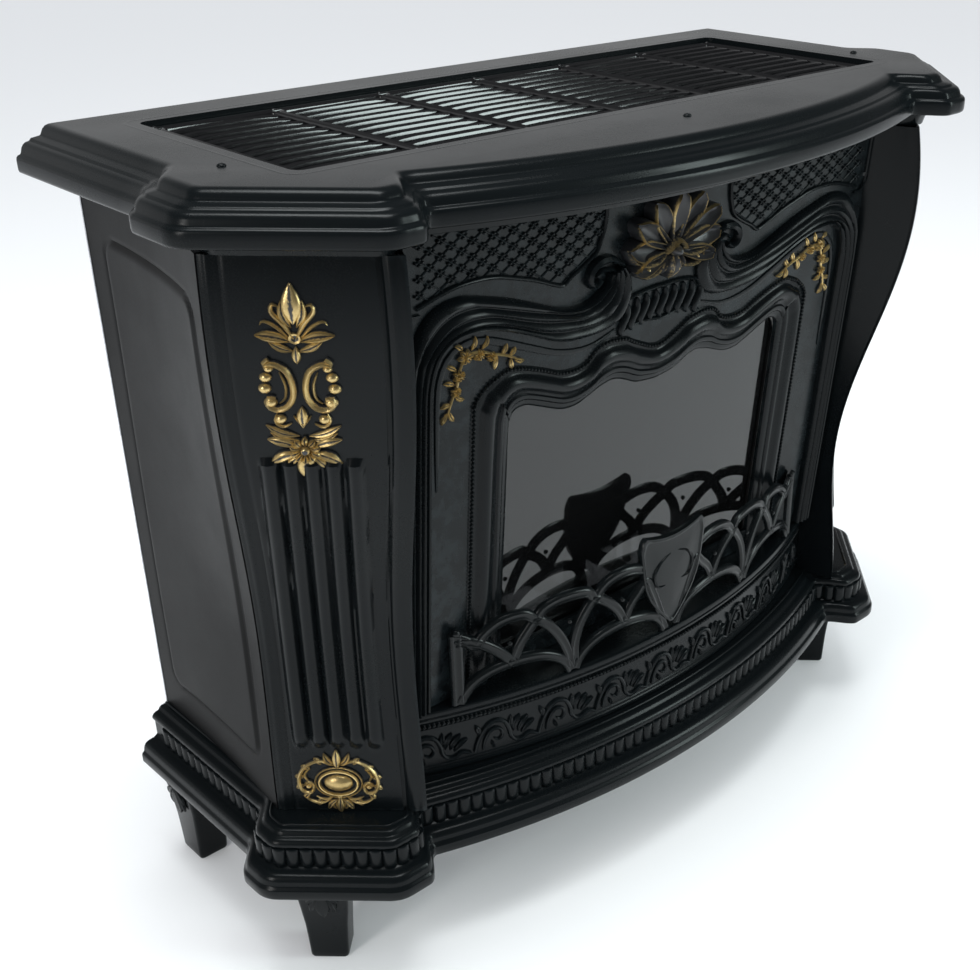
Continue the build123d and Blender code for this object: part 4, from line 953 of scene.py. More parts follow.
# Moulded tiers
@dataclass(frozen=True)
class Tier:
    """Outline of a moulded tier at its lip, in millimetres."""

    side: float
    cant: float
    block_front: float
    bow_reach: float
    proud: float = 22.0
    start: float = 207.0
    swing: float = 38.0
    inner: float = 346.0
    inner_swing: float = 30.0
    radius: float = 890.0
    corner: float = 13.0

    def right_half(self, inset: float) -> list[Spot]:
        """Right half of the outline from the rear corner to the middle of the bow.

        Args:
            inset: How far the outline is drawn in from the lip.

        Returns:
            Always the same number of points, so that outlines can be spanned.
        """
        side_x, block_x = self.side - inset, self.side + self.proud - inset
        total, front = self.cant - inset * sqrt(2), self.block_front - inset
        radius, reach = self.radius - inset, self.bow_reach - inset
        end_x = self.inner - self.inner_swing

        def bow(x: float) -> float:
            """Y of the bow at an X."""
            return -reach + radius - sqrt(radius * radius - x * x)

        points = [(side_x, -self.start * i / 8) for i in range(8)]
        for i in range(12):
            turn = i / 11
            points.append((side_x + (block_x - side_x) * (1 - cos(pi * turn)) / 2,
                           -self.start - self.swing * turn))
        rise, size = (block_x, block_x - total), max(5.0, self.corner - 0.2 * inset)
        points += self.rounded((block_x, -self.start - self.swing), rise, (total - front, -front), size)
        points += self.rounded(rise, (total - front, -front), (self.inner, -front), size)
        points += [(total - front + (self.inner - total + front) * i / 4, -front) for i in (2, 3)]
        for i in range(14):
            turn = i / 13
            points.append((self.inner + (end_x - self.inner) * turn,
                           -front + (bow(end_x) + front) * (1 - cos(pi * turn)) / 2))
        points += [(end_x * (1 - i / 40), bow(end_x * (1 - i / 40))) for i in range(1, 41)]
        return points

    @staticmethod
    def rounded(before: Spot, corner: Spot, after: Spot, size: float, steps: int = 7) -> list[Spot]:
        """Points of a rounded corner that starts a given length before it."""
        def toward(target: Spot) -> Spot:
            """Point on the way from the corner to a target."""
            length = hypot(target[0] - corner[0], target[1] - corner[1])
            return (corner[0] + (target[0] - corner[0]) * size / length,
                    corner[1] + (target[1] - corner[1]) * size / length)

        a, b = toward(before), toward(after)
        result = []
        for i in range(steps):
            u = i / (steps - 1)
            result.append(tuple((1 - u) ** 2 * p + 2 * u * (1 - u) * c + u * u * q
                                for p, c, q in zip(a, corner, b)))
        return result

    def outline(self, inset: float, rear: float = 0.0) -> list[Spot]:
        """The whole closed outline, with its rear line drawn forward by a distance."""
        half = self.right_half(inset)
        left = [(-x, y) for x, y in half[-2::-1]]
        back = [(-half[0][0] + 2 * half[0][0] * i / 10, 0.0) for i in range(1, 10)]
        return [(x, min(y, -rear)) for x, y in half + left + back]


CORNICE = Tier(464.0, 786.0, 412.0, 442.0)
BASE = Tier(452.0, 749.0, 369.0, 398.0)


def level(points: Sequence[Spot], z: float) -> list[Vector]:
    """Puts a flat outline at a height."""
    return [lay(x, y, z) for x, y in points]


def rounded_rectangle(middle: Spot, half: Spot, corner: float, steps: int = 8) -> list[Spot]:
    """Outline of a rectangle with rounded corners."""
    points = []
    for k, (sx, sy) in enumerate(((1, 1), (-1, 1), (-1, -1), (1, -1))):
        cx, cy = middle[0] + sx * (half[0] - corner), middle[1] + sy * (half[1] - corner)
        for i in range(steps):
            turn = pi / 2 * (k + i / (steps - 1))
            points.append((cx + corner * cos(turn), cy + corner * sin(turn)))
    return points


def tier_path(tier: Tier, inset: float) -> list[Spot]:
    """The visible run of a tier's outline, from rear right round to rear left."""
    half = tier.right_half(inset)
    return half + [(-x, y) for x, y in half[-2::-1]]


def outline_spots(path: Sequence[Spot], z: float, pitch: float, skip: float = 0.0) -> list[tuple]:
    """Seats along a level outline, with the way out square to it."""
    length = sum(hypot(b[0] - a[0], b[1] - a[1]) for a, b in zip(path, path[1:]))
    run = even_path(path, max(2, round(length / pitch) + 1))
    spots = []
    for i, (x, y) in enumerate(run):
        if y > -skip:
            continue
        back, ahead = run[max(0, i - 1)], run[min(len(run) - 1, i + 1)]
        along = Vector((ahead[0] - back[0], ahead[1] - back[1], 0.0)).normalized()
        spots.append((lay(x, y, z), along, Vector((-along.y, along.x, 0.0))))
    return spots


def close_sheet(draft: Draft, rings: Sequence[Sequence[int]]) -> None:
    """Skins the sections of a folded sheet and closes both its ends.

    Args:
        draft: Draft that takes the sheet.
        rings: Sections of the sheet from one end to the other.
    """
    draft.skin(rings)
    for ring in (rings[0], rings[-1]):
        half = len(ring) // 2
        draft.skin([ring[:half], ring[:half - 1:-1]], False)


def close_bar(draft: Draft, rings: Sequence[Sequence[int]]) -> None:
    """Skins the sections of a solid bar and caps both ends.

    Args:
        draft: Draft that takes the bar.
        rings: Sections of the bar from one end to the other.
    """
    draft.skin(rings)
    draft.cap(rings[0][::-1])
    draft.cap(rings[-1])


@dataclass
class Casing:
    """The moulded base and the moulded cornice."""

    flute_pitch: float = 13.2
    flute_width: float = 13.6
    flute_height: float = 20.0
    flute_rise: float = 4.4
    hollow_inset: float = 43.0
    seat_z: float = 781.0
    roof_z: float = 778.0
    floor_z: float = 177.0

    def make(self, looks: Finishes, repeats: Repeats) -> None:
        """Makes the base, the cornice and their repeated ornament."""
        settle(self.cornice().build(looks.satin), "top_cover")
        settle(self.base().build(looks.satin), "base_plinth")
        flute = self.flute_unit(looks.satin)
        spots = outline_spots(tier_path(BASE, 20.5), 156.0, self.flute_pitch, 14.0)
        settle(repeats.seat("base_gadroons", flute, spots, looks.satin))
        self.rim_beads(looks)

    def rim_beads(self, looks: Finishes) -> None:
        """Thin raised lines on the top of the base and round the grille."""
        draft = Draft("base_top_bead")
        flat = FlatFace((0.0, 0.0, BODY_Z - 0.6), (1.0, 0.0, 0.0), (0.0, 1.0, 0.0))
        draft.sweep(flat, tier_path(BASE, 37.0), half_round(3.4, 2.2, 0.6, 6))
        settle(draft.build(looks.satin))
        draft = Draft("grille_surround")
        top = FlatFace((0.0, 0.0, TOP_Z - 0.6), (1.0, 0.0, 0.0), (0.0, 1.0, 0.0))
        ring = rounded_rectangle((0.0, GRILLE_Y), (385.0, 134.0), 16.0)
        draft.sweep(top, ring, banded([(-3.4, 0.0), (-1.6, 0.62), (1.6, 0.62), (3.4, 0.0)], 0.5), True)
        settle(draft.build(looks.satin))

    def cornice(self) -> Draft:
        """Builds the hollow cornice with the seat of the grille."""
        draft = Draft("moulded_cornice")
        outer = [(self.hollow_inset, CORNICE_Z), (40.6, CORNICE_Z), (39.6, 743.0), (37.6, 750.0),
                 (34.0, 754.6), (33.0, 756.6), (31.5, 757.2), (5.0, 757.2), (2.0, 757.5), (0.6, 758.6),
                 (0.0, 760.6), (0.0, 769.0), (0.5, 771.0), (1.8, 772.4), (3.6, 772.9), (4.6, 773.6),
                 (5.2, 775.0), (6.2, 778.2), (8.0, 780.8), (10.4, 782.4), (13.0, 782.9), (14.4, 783.4),
                 (15.2, 784.6), (16.2, 785.2), (23.6, 786.2), (24.8, 786.8), (25.6, 788.4), (27.4, 791.6),
                 (30.0, 793.8), (33.4, 794.8), (37.0, TOP_Z)]
        rings = [draft.ring(level(CORNICE.outline(inset), z)) for inset, z in outer]
        seat = rounded_rectangle((0.0, GRILLE_Y), (374.0, 123.5), 10.0)
        mouth = rounded_rectangle((0.0, GRILLE_Y), (360.0, 109.5), 10.0)
        hollow = CORNICE.outline(self.hollow_inset, 3.0)
        holes = [draft.ring(level(points, z)) for points, z in
                 ((seat, TOP_Z), (seat, self.seat_z), (mouth, self.seat_z), (mouth, self.roof_z))]
        inner = [draft.ring(level(hollow, z)) for z in (self.roof_z, CORNICE_Z)]
        draft.skin(rings)
        draft.between(rings[-1], holes[0])
        draft.skin(holes[:2])
        draft.between(holes[1], holes[2])
        draft.skin(holes[2:])
        draft.between(inner[0], holes[3])
        draft.skin(inner)
        draft.skin([rings[0], inner[1]])
        return draft

    def base(self) -> Draft:
        """Builds the hollow base with the air inlet in its floor."""
        draft = Draft("moulded_base")
        outer = [(2.0, BASE_Z), (0.6, 119.6), (0.0, 121.0), (0.0, 129.0), (0.8, 131.0), (2.4, 132.0),
                 (3.4, 134.0), (3.8, 137.0), (5.4, 140.6), (8.0, 142.8), (11.0, 143.6), (14.0, 143.9),
                 (17.0, 144.6), (19.4, 146.0), (21.0, 147.5), (21.0, 164.5), (19.6, 166.2), (18.6, 168.4),
                 (19.0, 171.0), (20.8, 173.4), (23.6, 174.8), (26.0, 175.2), (27.4, 176.0), (28.6, 178.0),
                 (30.6, 179.6), (34.0, BODY_Z)]
        rings = [draft.ring(level(BASE.outline(inset), z)) for inset, z in outer]
        inlet = [(300.0, -60.0), (-300.0, -60.0), (-300.0, -240.0), (300.0, -240.0)]
        holes = [draft.ring(level(inlet, z)) for z in (BODY_Z, self.floor_z)]
        hollow = BASE.outline(self.hollow_inset, 3.0)
        inner = [draft.ring(level(hollow, z)) for z in (self.floor_z, BASE_Z)]
        draft.skin(rings)
        draft.between(rings[-1], holes[0])
        draft.skin(holes)
        draft.between(inner[0], holes[1])
        draft.skin(inner)
        draft.skin([rings[0], inner[1]])
        return draft

    def flute_unit(self, finish: bpy.types.Material) -> bpy.types.Object:
        """One upright gadroon with round ends, standing on the origin."""
        draft = Draft("gadroon_unit")
        half, radius = self.flute_height / 2, self.flute_width / 2
        path = [(0.0, half * sin(pi / 2 * i / 6)) for i in range(-6, 7)]

        def rows(u: float) -> Profile:
            """Profile that closes round at both ends."""
            size = max(0.02, 1 - abs(2 * u - 1) ** 6) ** 0.4
            return half_round(2 * radius * (0.4 + 0.6 * size), self.flute_rise * size, 1.2, 8)

        draft.sweep(UNIT_FACE, path, rows)
        return draft.build(finish)


@dataclass
class Columns:
    """The two swelling corner columns with their ornaments."""

    low: float = 180.5
    high: float = 741.5
    levels: int = 96
    thick: float = 3.0
    flutes: int = 5
    flute_low: float = 255.0
    flute_high: float = 572.0
    flute_rise: float = 8.0
    band: Spot = (-50.0, 38.0)

    def make(self, looks: Finishes) -> None:
        """Makes both columns and lays their ornaments."""
        for side, label in ((-1, "left"), (1, "right")):
            settle(self.column(side, label).build(looks.satin), f"corner_column_{label}")
            face = CantFace(side, -9.5)
            settle(self.upright(face, label).build(looks.brass, 50.0), f"column_ornament_{label}",
                   slot=Slot.BRASS)
            settle(self.cartouche(face, label).build(looks.brass, 50.0), f"cartouche_{label}",
                   slot=Slot.BRASS)

    def relief(self, s: float, z: float, half: float) -> float:
        """Height of the pressed relief on the cant.

        Args:
            s: Millimetres from the middle of the cant, towards the front.
            z: Height above the floor.
            half: Half the width of the cant there.

        Returns:
            Millimetres off the cant.
        """
        def ridge(place: float, width: float, rise: float) -> float:
            """A rounded ridge, or a groove where the rise is negative."""
            away = abs(s - place) / (width / 2)
            return rise * (0.5 + 0.5 * cos(pi * away)) if away < 1 else 0.0

        height = ridge(-half + 9, 9, 1.5) + ridge(-half + 18, 5, -1.2)
        height += ridge(half - 20, 7, -3.0) + ridge(half - 12, 10, 1.2)
        foot = z - self.low
        if foot < 16 and abs(s) < half - 22:
            height += 1.6 * (0.5 + 0.5 * cos(pi * min(1.0, abs(foot - 9) / 4)))
        start, end = self.band
        pitch = (end - start) / self.flutes
        if start < s < end and self.flute_low < z < self.flute_high:
            share = ((s - start) % pitch) / pitch
            near = min(z - self.flute_low, self.flute_high - z) / (pitch / 2)
            full = sqrt(max(0.0, 1 - (1 - min(1.0, near)) ** 2))
            height += self.flute_rise * full * sin(pi * share) ** 0.75 - 0.8 * full
        return height

    def section(self, z: float) -> tuple[list[Row], list[Row]]:
        """Outer and inner lines of the column's cross-section at a height."""
        (xr, yr), (xf, yf) = SWELL.rear(z), SWELL.front(z)
        length = hypot(xf - xr, yf - yr)
        way = ((xf - xr) / length, (yf - yr) / length)
        out = (abs(way[1]), -abs(way[0]))
        half = length / 2
        outer = [(xr - 14.0, yr, z), (xr - 5.0, yr - 0.2, z), (xr - 1.8, yr - 1.0, z)]
        base = list(outer)
        steps = 84
        for i in range(steps + 1):
            s = -half + 3.0 + (length - 6.0) * i / steps
            height = self.relief(s, z, half)
            px, py = (xr + xf) / 2 + way[0] * s, (yr + yf) / 2 + way[1] * s
            outer.append((px + out[0] * height, py + out[1] * height, z))
            base.append((px, py, z))
        end = (316.4, FrontFace().y(z) + 4.0)
        flank = hypot(end[0] - xf, end[1] - yf)
        for share, step in ((0.02, 0.8), (0.06, 0.1), (0.3, 0.0), (0.34, -2.4), (0.44, -2.4), (0.48, 0.0),
                            (0.7, 0.0), (0.73, -1.8), (0.8, -1.8), (0.83, 0.0), (1.0, 0.0)):
            spot = (xf + (end[0] - xf) * share, yf + (end[1] - yf) * share)
            side = ((end[1] - yf) / flank, -(end[0] - xf) / flank)
            outer.append((spot[0] - side[0] * step, spot[1] - side[1] * step, z))
            base.append((*spot, z))
        middle = (250.0, -200.0)
        inner = []
        for x, y, _ in base:
            size = hypot(x - middle[0], y - middle[1])
            inner.append((x - (x - middle[0]) / size * self.thick * 1.15,
                          y - (y - middle[1]) / size * self.thick * 1.15, z))
        return outer, inner

    def column(self, side: int, label: str) -> Draft:
        """Builds one column as a closed pressed shell."""
        draft = Draft(f"swelling_column_{label}")
        rings = []
        for i in range(self.levels + 1):
            z = self.low + (self.high - self.low) * i / self.levels
            outer, inner = self.section(z)
            rings.append(draft.ring([lay(side * x, y, h) for x, y, h in outer + inner[::-1]]))
        close_sheet(draft, rings)
        return draft

    def upright(self, face: CantFace, label: str) -> Draft:
        """Carves the leaf and scroll ornament over the flutes."""
        draft = Draft(f"leaf_ornament_{label}")
        draft.leaf(face, (0, 690), (0, 721), 17, 6.0, crease=0.1, full=0.45)
        for side in (-1, 1):
            m = side
            draft.leaf(face, (m * 2, 687), (m * 8, 708), 8, 4.5, bend=-m * 2.5, crease=0.3)
            draft.stroke(face, [(m * 1, 678), (m * 8, 690), (m * 16, 699), (m * 15, 705), (m * 10, 703)], 5,
                         4.2)
            draft.stroke(face, [(m * 4, 678), (m * 14, 688), (m * 23, 692), (m * 26, 689)], 3.6, 3.4)
            draft.leaf(face, (m * 3, 676), (m * 31, 681), 10, 5.0, bend=m * 1.5, crease=0.55)
            draft.leaf(face, (m * 2, 668), (m * 21, 676), 7, 4.0, bend=-m * 1.0)
            draft.stroke(face, [(m * 22, 662), (m * 27, 657), (m * 19, 658), (m * 9, 652), (m * 5, 640),
                                (m * 6, 629), (m * 12, 621), (m * 20, 619), (m * 26, 623), (m * 25, 629),
                                (m * 20, 628)], 6.4, 6.0, tail=0.7)
            draft.stroke(face, [(m * 15, 651), (m * 11, 640), (m * 12, 629), (m * 17, 624)], 3.0, 3.4)
            for x, z, size in ((23, 654, 3.2), (26, 646.5, 4.2), (27.5, 637, 4.4), (24, 625, 4.6)):
                draft.boss(face, (m * x, z), (size * 1.25, size), 5.2)
            draft.boss(face, (m * 17.5, 610), (5.0, 4.2), 5.0)
            draft.stroke(face, [(m * 9, 606), (m * 16, 603), (m * 22, 608), (m * 20, 615)], 3.4, 3.6)
            draft.leaf(face, (m * 4, 594), (m * 30, 604), 7, 3.8, bend=-m * 2.0)
            draft.leaf(face, (m * 5, 590), (m * 27, 597), 5, 3.4, bend=-m * 2.0)
            draft.leaf(face, (m * 6, 584), (m * 30, 591), 9, 4.6, bend=m * 1.5)
            draft.leaf(face, (m * 6, 578), (m * 29, 568), 10, 4.6, bend=m * 2.0)
            draft.leaf(face, (m * 5, 575), (m * 17, 563), 7, 4.0, bend=m * 1.0)
        draft.leaf(face, (0, 672), (0, 658), 8, 4.6, crease=0.2)
        draft.boss(face, (0, 678.5), (5.6, 4.8), 5.2, dish=4.2)
        draft.leaf(face, (0, 602), (0, 621), 10, 5.0, crease=0.2)
        draft.stroke(face, [(-7, 613), (0, 606), (7, 613)], 3.4, 4.0)
        draft.leaf(face, (0, 575), (0, 552), 18, 5.0, crease=0.15, full=0.4)
        for i in range(10):
            turn = 2 * pi * i / 10 + 0.3
            tip = (13.5 * cos(turn), 581 + 12.5 * sin(turn))
            draft.leaf(face, (4.0 * cos(turn), 581 + 4.0 * sin(turn)), tip, 6.2, 6.4, crease=0.3, full=0.65)
        draft.boss(face, (0, 581), (4.6, 4.2), 8.0, dish=1.6)
        return draft

    def cartouche(self, face: CantFace, label: str) -> Draft:
        """Carves the oval boss with its scrolls near the foot."""
        draft = Draft(f"oval_cartouche_{label}")
        draft.boss(face, (0, 214), (14.5, 9.5), 8.0, sides=28)
        ring = [(18.5 * cos(a), 214 + 13.0 * sin(a)) for a in [2 * pi * i / 36 for i in range(36)]]
        draft.sweep(face, ring, half_round(3.4, 5.0, 1.0, 5, 1.0), True)
        ring = [(22.5 * cos(a), 214 + 16.6 * sin(a)) for a in [2 * pi * i / 36 for i in range(36)]]
        draft.sweep(face, ring, half_round(2.2, 3.4, 1.0, 4, 0.8), True)
        for m in (-1, 1):
            draft.stroke(face, [(m * 6, 234), (m * 16, 238), (m * 27, 234), (m * 35, 226), (m * 38, 215),
                                (m * 35, 205), (m * 27, 203), (m * 24, 210), (m * 29, 215),
                                (m * 33, 211)], 4.6, 5.2, tail=0.55)
            draft.stroke(face, [(m * 27, 229), (m * 32, 222), (m * 29, 215)], 3.2, 3.8)
            draft.stroke(face, [(m * 8, 196), (m * 17, 191), (m * 27, 193), (m * 35, 199)], 3.8, 4.4)
            draft.stroke(face, [(m * 5, 199), (m * 14, 195), (m * 23, 198)], 3.0, 3.6)
            draft.boss(face, (m * 29, 210), (3.4, 3.0), 5.0)
            for k in range(7):
                turn = radians(62 - 24 * k)
                base = (m * 33 * cos(turn), 214 + 22 * sin(turn))
                tip = (m * 42.5 * cos(turn - 0.05), 214 + 31 * sin(turn - 0.05))
                draft.leaf(face, base, tip, 6.0, 3.6, bend=m * 1.0, crease=0.4, full=0.6)
            draft.leaf(face, (m * 2, 233), (m * 12, 246), 6.5, 4.4, bend=-m * 2.0)
            draft.leaf(face, (m * 2, 195), (m * 12, 183), 6.0, 4.2, bend=m * 2.0)
        draft.leaf(face, (0, 229), (0, 250), 9.0, 5.6, crease=0.25)
        draft.leaf(face, (0, 199), (0, 179), 8.0, 5.2, crease=0.25)
        draft.boss(face, (0, 199), (3.2, 2.6), 6.0)
        return draft


@dataclass
class SideSheets:
    """The flat side sheets that flare out to the columns, with a pressed border."""

    low: float = 180.5
    high: float = 741.5
    thick: float = 2.0
    body_side: float = 415.0
    depth: float = 232.0
    panel_middle: float = 118.0
    panel_half_depth: float = 88.0
    panel_half_height: float = 236.0
    panel_corner: float = 16.0

    def make(self, looks: Finishes) -> None:
        """Makes both side sheets."""
        for side, label in ((-1, "left"), (1, "right")):
            settle(self.sheet(side, label).build(looks.side), f"side_panel_{label}", slot=Slot.SHEET)

    def relief(self, t: float, z: float) -> float:
        """Height of the pressed border at a share of the depth and a height."""
        off_x = abs(t * self.depth - self.panel_middle) - (self.panel_half_depth - self.panel_corner)
        off_z = abs(z - (self.low + self.high) / 2) - (self.panel_half_height - self.panel_corner)
        away = hypot(max(0.0, off_x), max(0.0, off_z)) + min(0.0, max(off_x, off_z)) - self.panel_corner
        step = 1.8 / (1 + pow(2.718, away * 1.6))
        groove = -1.0 * (0.5 + 0.5 * cos(pi * min(1.0, abs(away - 3.0) / 3.0)))
        return step + groove - 0.9

    def sheet(self, side: int, label: str) -> Draft:
        """Builds one sheet as a thin closed shell."""
        draft = Draft(f"side_sheet_{label}")
        rings = []
        columns, rows = 84, 190
        for i in range(rows + 1):
            z = self.low + (self.high - self.low) * i / rows
            x_end, y_end = SWELL.rear(z)
            rear, front = -2.4, y_end + 0.4
            outer, inner = [], []
            for k in range(columns + 1):
                t = k / columns
                x = self.body_side + (x_end - self.body_side) * t * t
                y = rear + (front - rear) * t
                h = self.relief(t, z)
                outer.append(lay(side * (x + h), y, z))
                inner.append(lay(side * (x - self.thick), y, z))
            outer.append(lay(side * (x_end - 13.0), front, z))
            inner.append(lay(side * (x_end - 13.0), front + self.thick, z))
            inner[-2] = lay(side * (x_end - self.thick), front + self.thick, z)
            rings.append(draft.ring(outer + inner[::-1]))
        close_sheet(draft, rings)
        return draft


# Front plate
FRONT = FrontFace()


def rails(draft: Draft, face: Face, first: Sequence[Spot], second: Sequence[Spot], rows: Sequence[Spot],
          count: int = 150, sink: float = 1.0) -> None:
    """Spans a moulded strip between two rails on a surface.

    Args:
        draft: Draft that takes the strip.
        face: Surface that carries it.
        first: Rail where the share is 0.
        second: Rail where the share is 1.
        rows: Share between the rails and height, in order.
        count: Number of sections.
        sink: How far the strip goes into the surface.
    """
    a, b = even_path(first, count), even_path(second, count)
    rings = []
    for (sa, ta), (sb, tb) in zip(a, b):
        spots = [face.at(sa, ta, -sink)]
        spots += [face.at(sa + (sb - sa) * f, ta + (tb - ta) * f, h) for f, h in rows]
        spots.append(face.at(sb, tb, -sink))
        rings.append(draft.ring(spots))
    close_bar(draft, rings)


def pad(draft: Draft, face: Face, outline: Sequence[Spot], rows: Sequence[Row], sink: float = 1.0,
        centre: Spot | None = None) -> None:
    """Lays a solid relief whose outline shrinks towards its middle as it rises.

    Args:
        draft: Draft that takes the relief.
        face: Surface that carries it.
        outline: Closed outline.
        rows: Scale, height and brass share of each ring, from the outside in.
        sink: How far it goes into the surface.
        centre: Where it shrinks to, or nothing for the outline's mean.
    """
    cs, ct = centre or [sum(values) / len(outline) for values in zip(*outline)]
    rings = [draft.ring([face.at(s, t, -sink) for s, t in outline])]
    for scale, height, gilt in rows:
        rings.append(draft.ring([face.at(cs + (s - cs) * scale, ct + (t - ct) * scale, height)
                                 for s, t in outline], gilt))
    close_bar(draft, rings)


@dataclass
class FrontPlate:
    """The leaning front plate with its window moulding, scrolls, lattice and brasses."""

    half: float = 316.0
    low: float = 259.2
    high: float = 740.5
    thick: float = 4.0
    bead_pitch: float = 4.3
    lattice_pitch: float = 22.5
    lattice_slope: float = 0.62
    lattice_start: Spot = (60.0, 655.0)
    lattice_stride: float = 1.6
    lattice_count: int = 90

    def make(self, looks: Finishes, repeats: Repeats) -> None:
        """Makes the plate and everything laid on it."""
        settle(self.plate().build(looks.satin), "front_frame")
        settle(self.window_moulding().build(looks.satin))
        settle(self.scrolls().build(looks.satin))
        settle(self.lattice().build(looks.satin))
        settle(self.shell().build(looks.shell, 60.0), "shell_ornament", slot=Slot.BRASS)
        settle(self.lambrequin().build(looks.satin, 60.0), "tongue_ornament")
        for side, label in ((-1, "left"), (1, "right")):
            settle(self.spray(side, label).build(looks.brass, 60.0), f"corner_spray_{label}",
                   slot=Slot.BRASS)
        line = smooth_path(self.bead_line(), 2.0)
        spots = [spot for path in (line, mirrored(line))
                 for spot in string_spots(FRONT, path, self.bead_pitch, 1.2)]
        settle(repeats.seat("window_beads", bead_unit(2.0, 2.6, looks.satin), spots, looks.satin))
        dots = self.lattice_dots()
        settle(repeats.seat("lattice_rosettes", self.rosette_unit(looks.satin), dots, looks.satin))

    @staticmethod
    def bead_line() -> list[Spot]:
        """Line of beads round the right half of the window."""
        return [(235, 262), (235, 400), (235, 555), (233, 575), (222, 587), (210, 593), (195, 597),
                (175, 593), (150, 584), (133, 577), (117, 574.5), (104, 575.5), (94, 579), (86, 587),
                (76, 591), (66, 592), (46, 589), (34, 583), (23, 578), (11, 573), (0, 571)]

    @staticmethod
    def opening() -> list[Spot]:
        """Edge of the window opening, right half, from the sill up to the middle."""
        return [(193, 284), (193, 530), (192, 545), (189, 553), (181, 556), (170, 555), (150, 547),
                (133, 540), (122, 537), (108, 537), (94, 541), (78, 547), (62, 550), (50, 548), (38, 543),
                (26, 538), (12, 536), (0, 535)]

    def plate(self) -> Draft:
        """Builds the plate with its window hole."""
        draft = Draft("front_plate")
        edge = smooth_path(self.opening(), 4.0)
        hole = edge + mirrored(edge)[-2::-1]
        outline = [(-self.half, self.low), (self.half, self.low), (self.half, self.high),
                   (-self.half, self.high)]
        rings = []
        for depth in (0.0, -self.thick):
            rings.append([draft.ring([FRONT.at(s, t, depth) for s, t in loop]) for loop in (outline, hole)])
            draft.between(*rings[-1])
        draft.skin([rings[0][0], rings[1][0]])
        draft.skin([rings[0][1], rings[1][1]])
        return draft

    def window_moulding(self) -> Draft:
        """Builds the stepped roll moulding between the opening and the beads."""
        draft = Draft("window_moulding")
        inner = [(193, 262)] + self.opening()[1:]
        rows = [(0.0, 0.5), (0.02, 1.6), (0.10, 2.6), (0.17, 3.0), (0.19, 4.6), (0.24, 5.6), (0.30, 5.4),
                (0.34, 3.6), (0.40, 4.0), (0.47, 6.6), (0.55, 8.4), (0.62, 8.8), (0.69, 8.0), (0.75, 5.4),
                (0.79, 2.4), (0.83, 1.4), (0.97, 1.2), (1.0, 0.0)]
        outer = smooth_path([(s + (2.5 if t < 570 else 0), t + (3.0 if t > 570 else 0)) for s,
                             t in self.bead_line()], 2.0)
        edge = smooth_path(inner, 2.0)
        rails(draft, FRONT, edge, outer, rows, 220)
        rails(draft, FRONT, mirrored(edge), mirrored(outer), rows, 220)
        return draft

    def scrolls(self) -> Draft:
        """Builds the ribbed scrolls and the softer waves beneath them."""
        draft = Draft("ribbed_scrolls")
        outer = smooth_path([(311, 262), (311, 450), (311, 608), (309, 634), (299, 658), (288, 671),
                             (273, 678), (258, 680), (246, 679), (219, 672), (196, 665), (172, 656),
                             (147, 646), (129, 641), (113, 640), (101, 642), (91, 647), (82, 654),
                             (78, 662)], 2.0)
        inner = smooth_path([(285, 262), (285, 450), (285, 583), (283, 614), (275, 634), (262, 644),
                             (245, 647), (217, 641), (182, 628), (145, 612), (122, 606), (100, 605),
                             (81, 606), (66, 610), (54, 617), (47, 632), (47, 646), (52, 658),
                             (61, 667)], 2.0)
        rows = [(0.0, 0.4)]
        for i in range(4):
            for share, rise in ((0.04, 0.25), (0.25, 0.8), (0.5, 1.0), (0.75, 0.8), (0.96, 0.25)):
                rows.append((0.02 + 0.96 * (i + share) / 4,
                             3.0 + 5.6 * rise + 2.2 * sin(pi * (i + share) / 4)))
        rows.append((1.0, 0.4))
        volute = [(61, 667), (70, 673), (82, 677), (95, 675), (103, 667), (102, 658), (95, 654), (88, 658)]
        wave = [(276, 500), (276, 585), (273, 611), (263, 628), (246, 635), (226, 633), (205, 626),
                (164, 609), (138, 599), (112, 594), (92, 594), (76, 598), (62, 603)]
        for flip in (False, True):
            def turn(path: Sequence[Spot]) -> list[Spot]:
                """The path, mirrored for the left half."""
                return mirrored(path) if flip else list(path)

            rails(draft, FRONT, turn(outer), turn(inner), rows, 230)
            draft.stroke(FRONT, turn(volute), 9.0, 9.0, 0.0, tail=0.55)
            draft.stroke(FRONT, turn([(56, 640), (62, 655), (73, 664), (85, 667), (94, 662)]), 5.0, 6.0,
                         0.0)
            draft.stroke(FRONT, turn(wave), 8.0, 2.6, 0.0, tail=0.2)
            draft.stroke(FRONT, turn([(102, 640), (88, 632), (80, 620), (90, 611), (108, 612)]), 7.0, 5.0,
                         0.0)
            border = smooth_path(self.field_low(), 2.0)
            draft.sweep(FRONT, turn(border), half_round(4.4, 3.6, 1.0, 6))
            draft.sweep(FRONT, turn(smooth_path([(313, 738), (313, 690), (311, 679), (305, 674),
                                                 (296, 673)], 2.0)),
                        half_round(3.0, 3.2, 1.0, 5))
        return draft

    @staticmethod
    def field_low() -> list[Spot]:
        """Lower and inner border of the right lattice field."""
        return [(299, 679), (278, 685), (258, 689), (236, 690), (214, 688), (191, 682), (168, 675),
                (140, 664), (132, 664), (125, 669), (107, 678), (95, 686), (90, 697), (86, 712), (85, 738)]

    def field(self) -> list[Spot]:
        """Closed outline of the right lattice field."""
        return smooth_path(self.field_low(), 6.0) + [(299, 738)]

    @staticmethod
    def inside(spot: Spot, outline: Sequence[Spot]) -> bool:
        """Tells whether a point lies inside a closed outline."""
        s, t = spot
        hit = False
        for (a, b), (c, d) in zip(outline, [*outline[1:], outline[0]]):
            if (b > t) != (d > t) and s < (c - a) * (t - b) / (d - b) + a:
                hit = not hit
        return hit

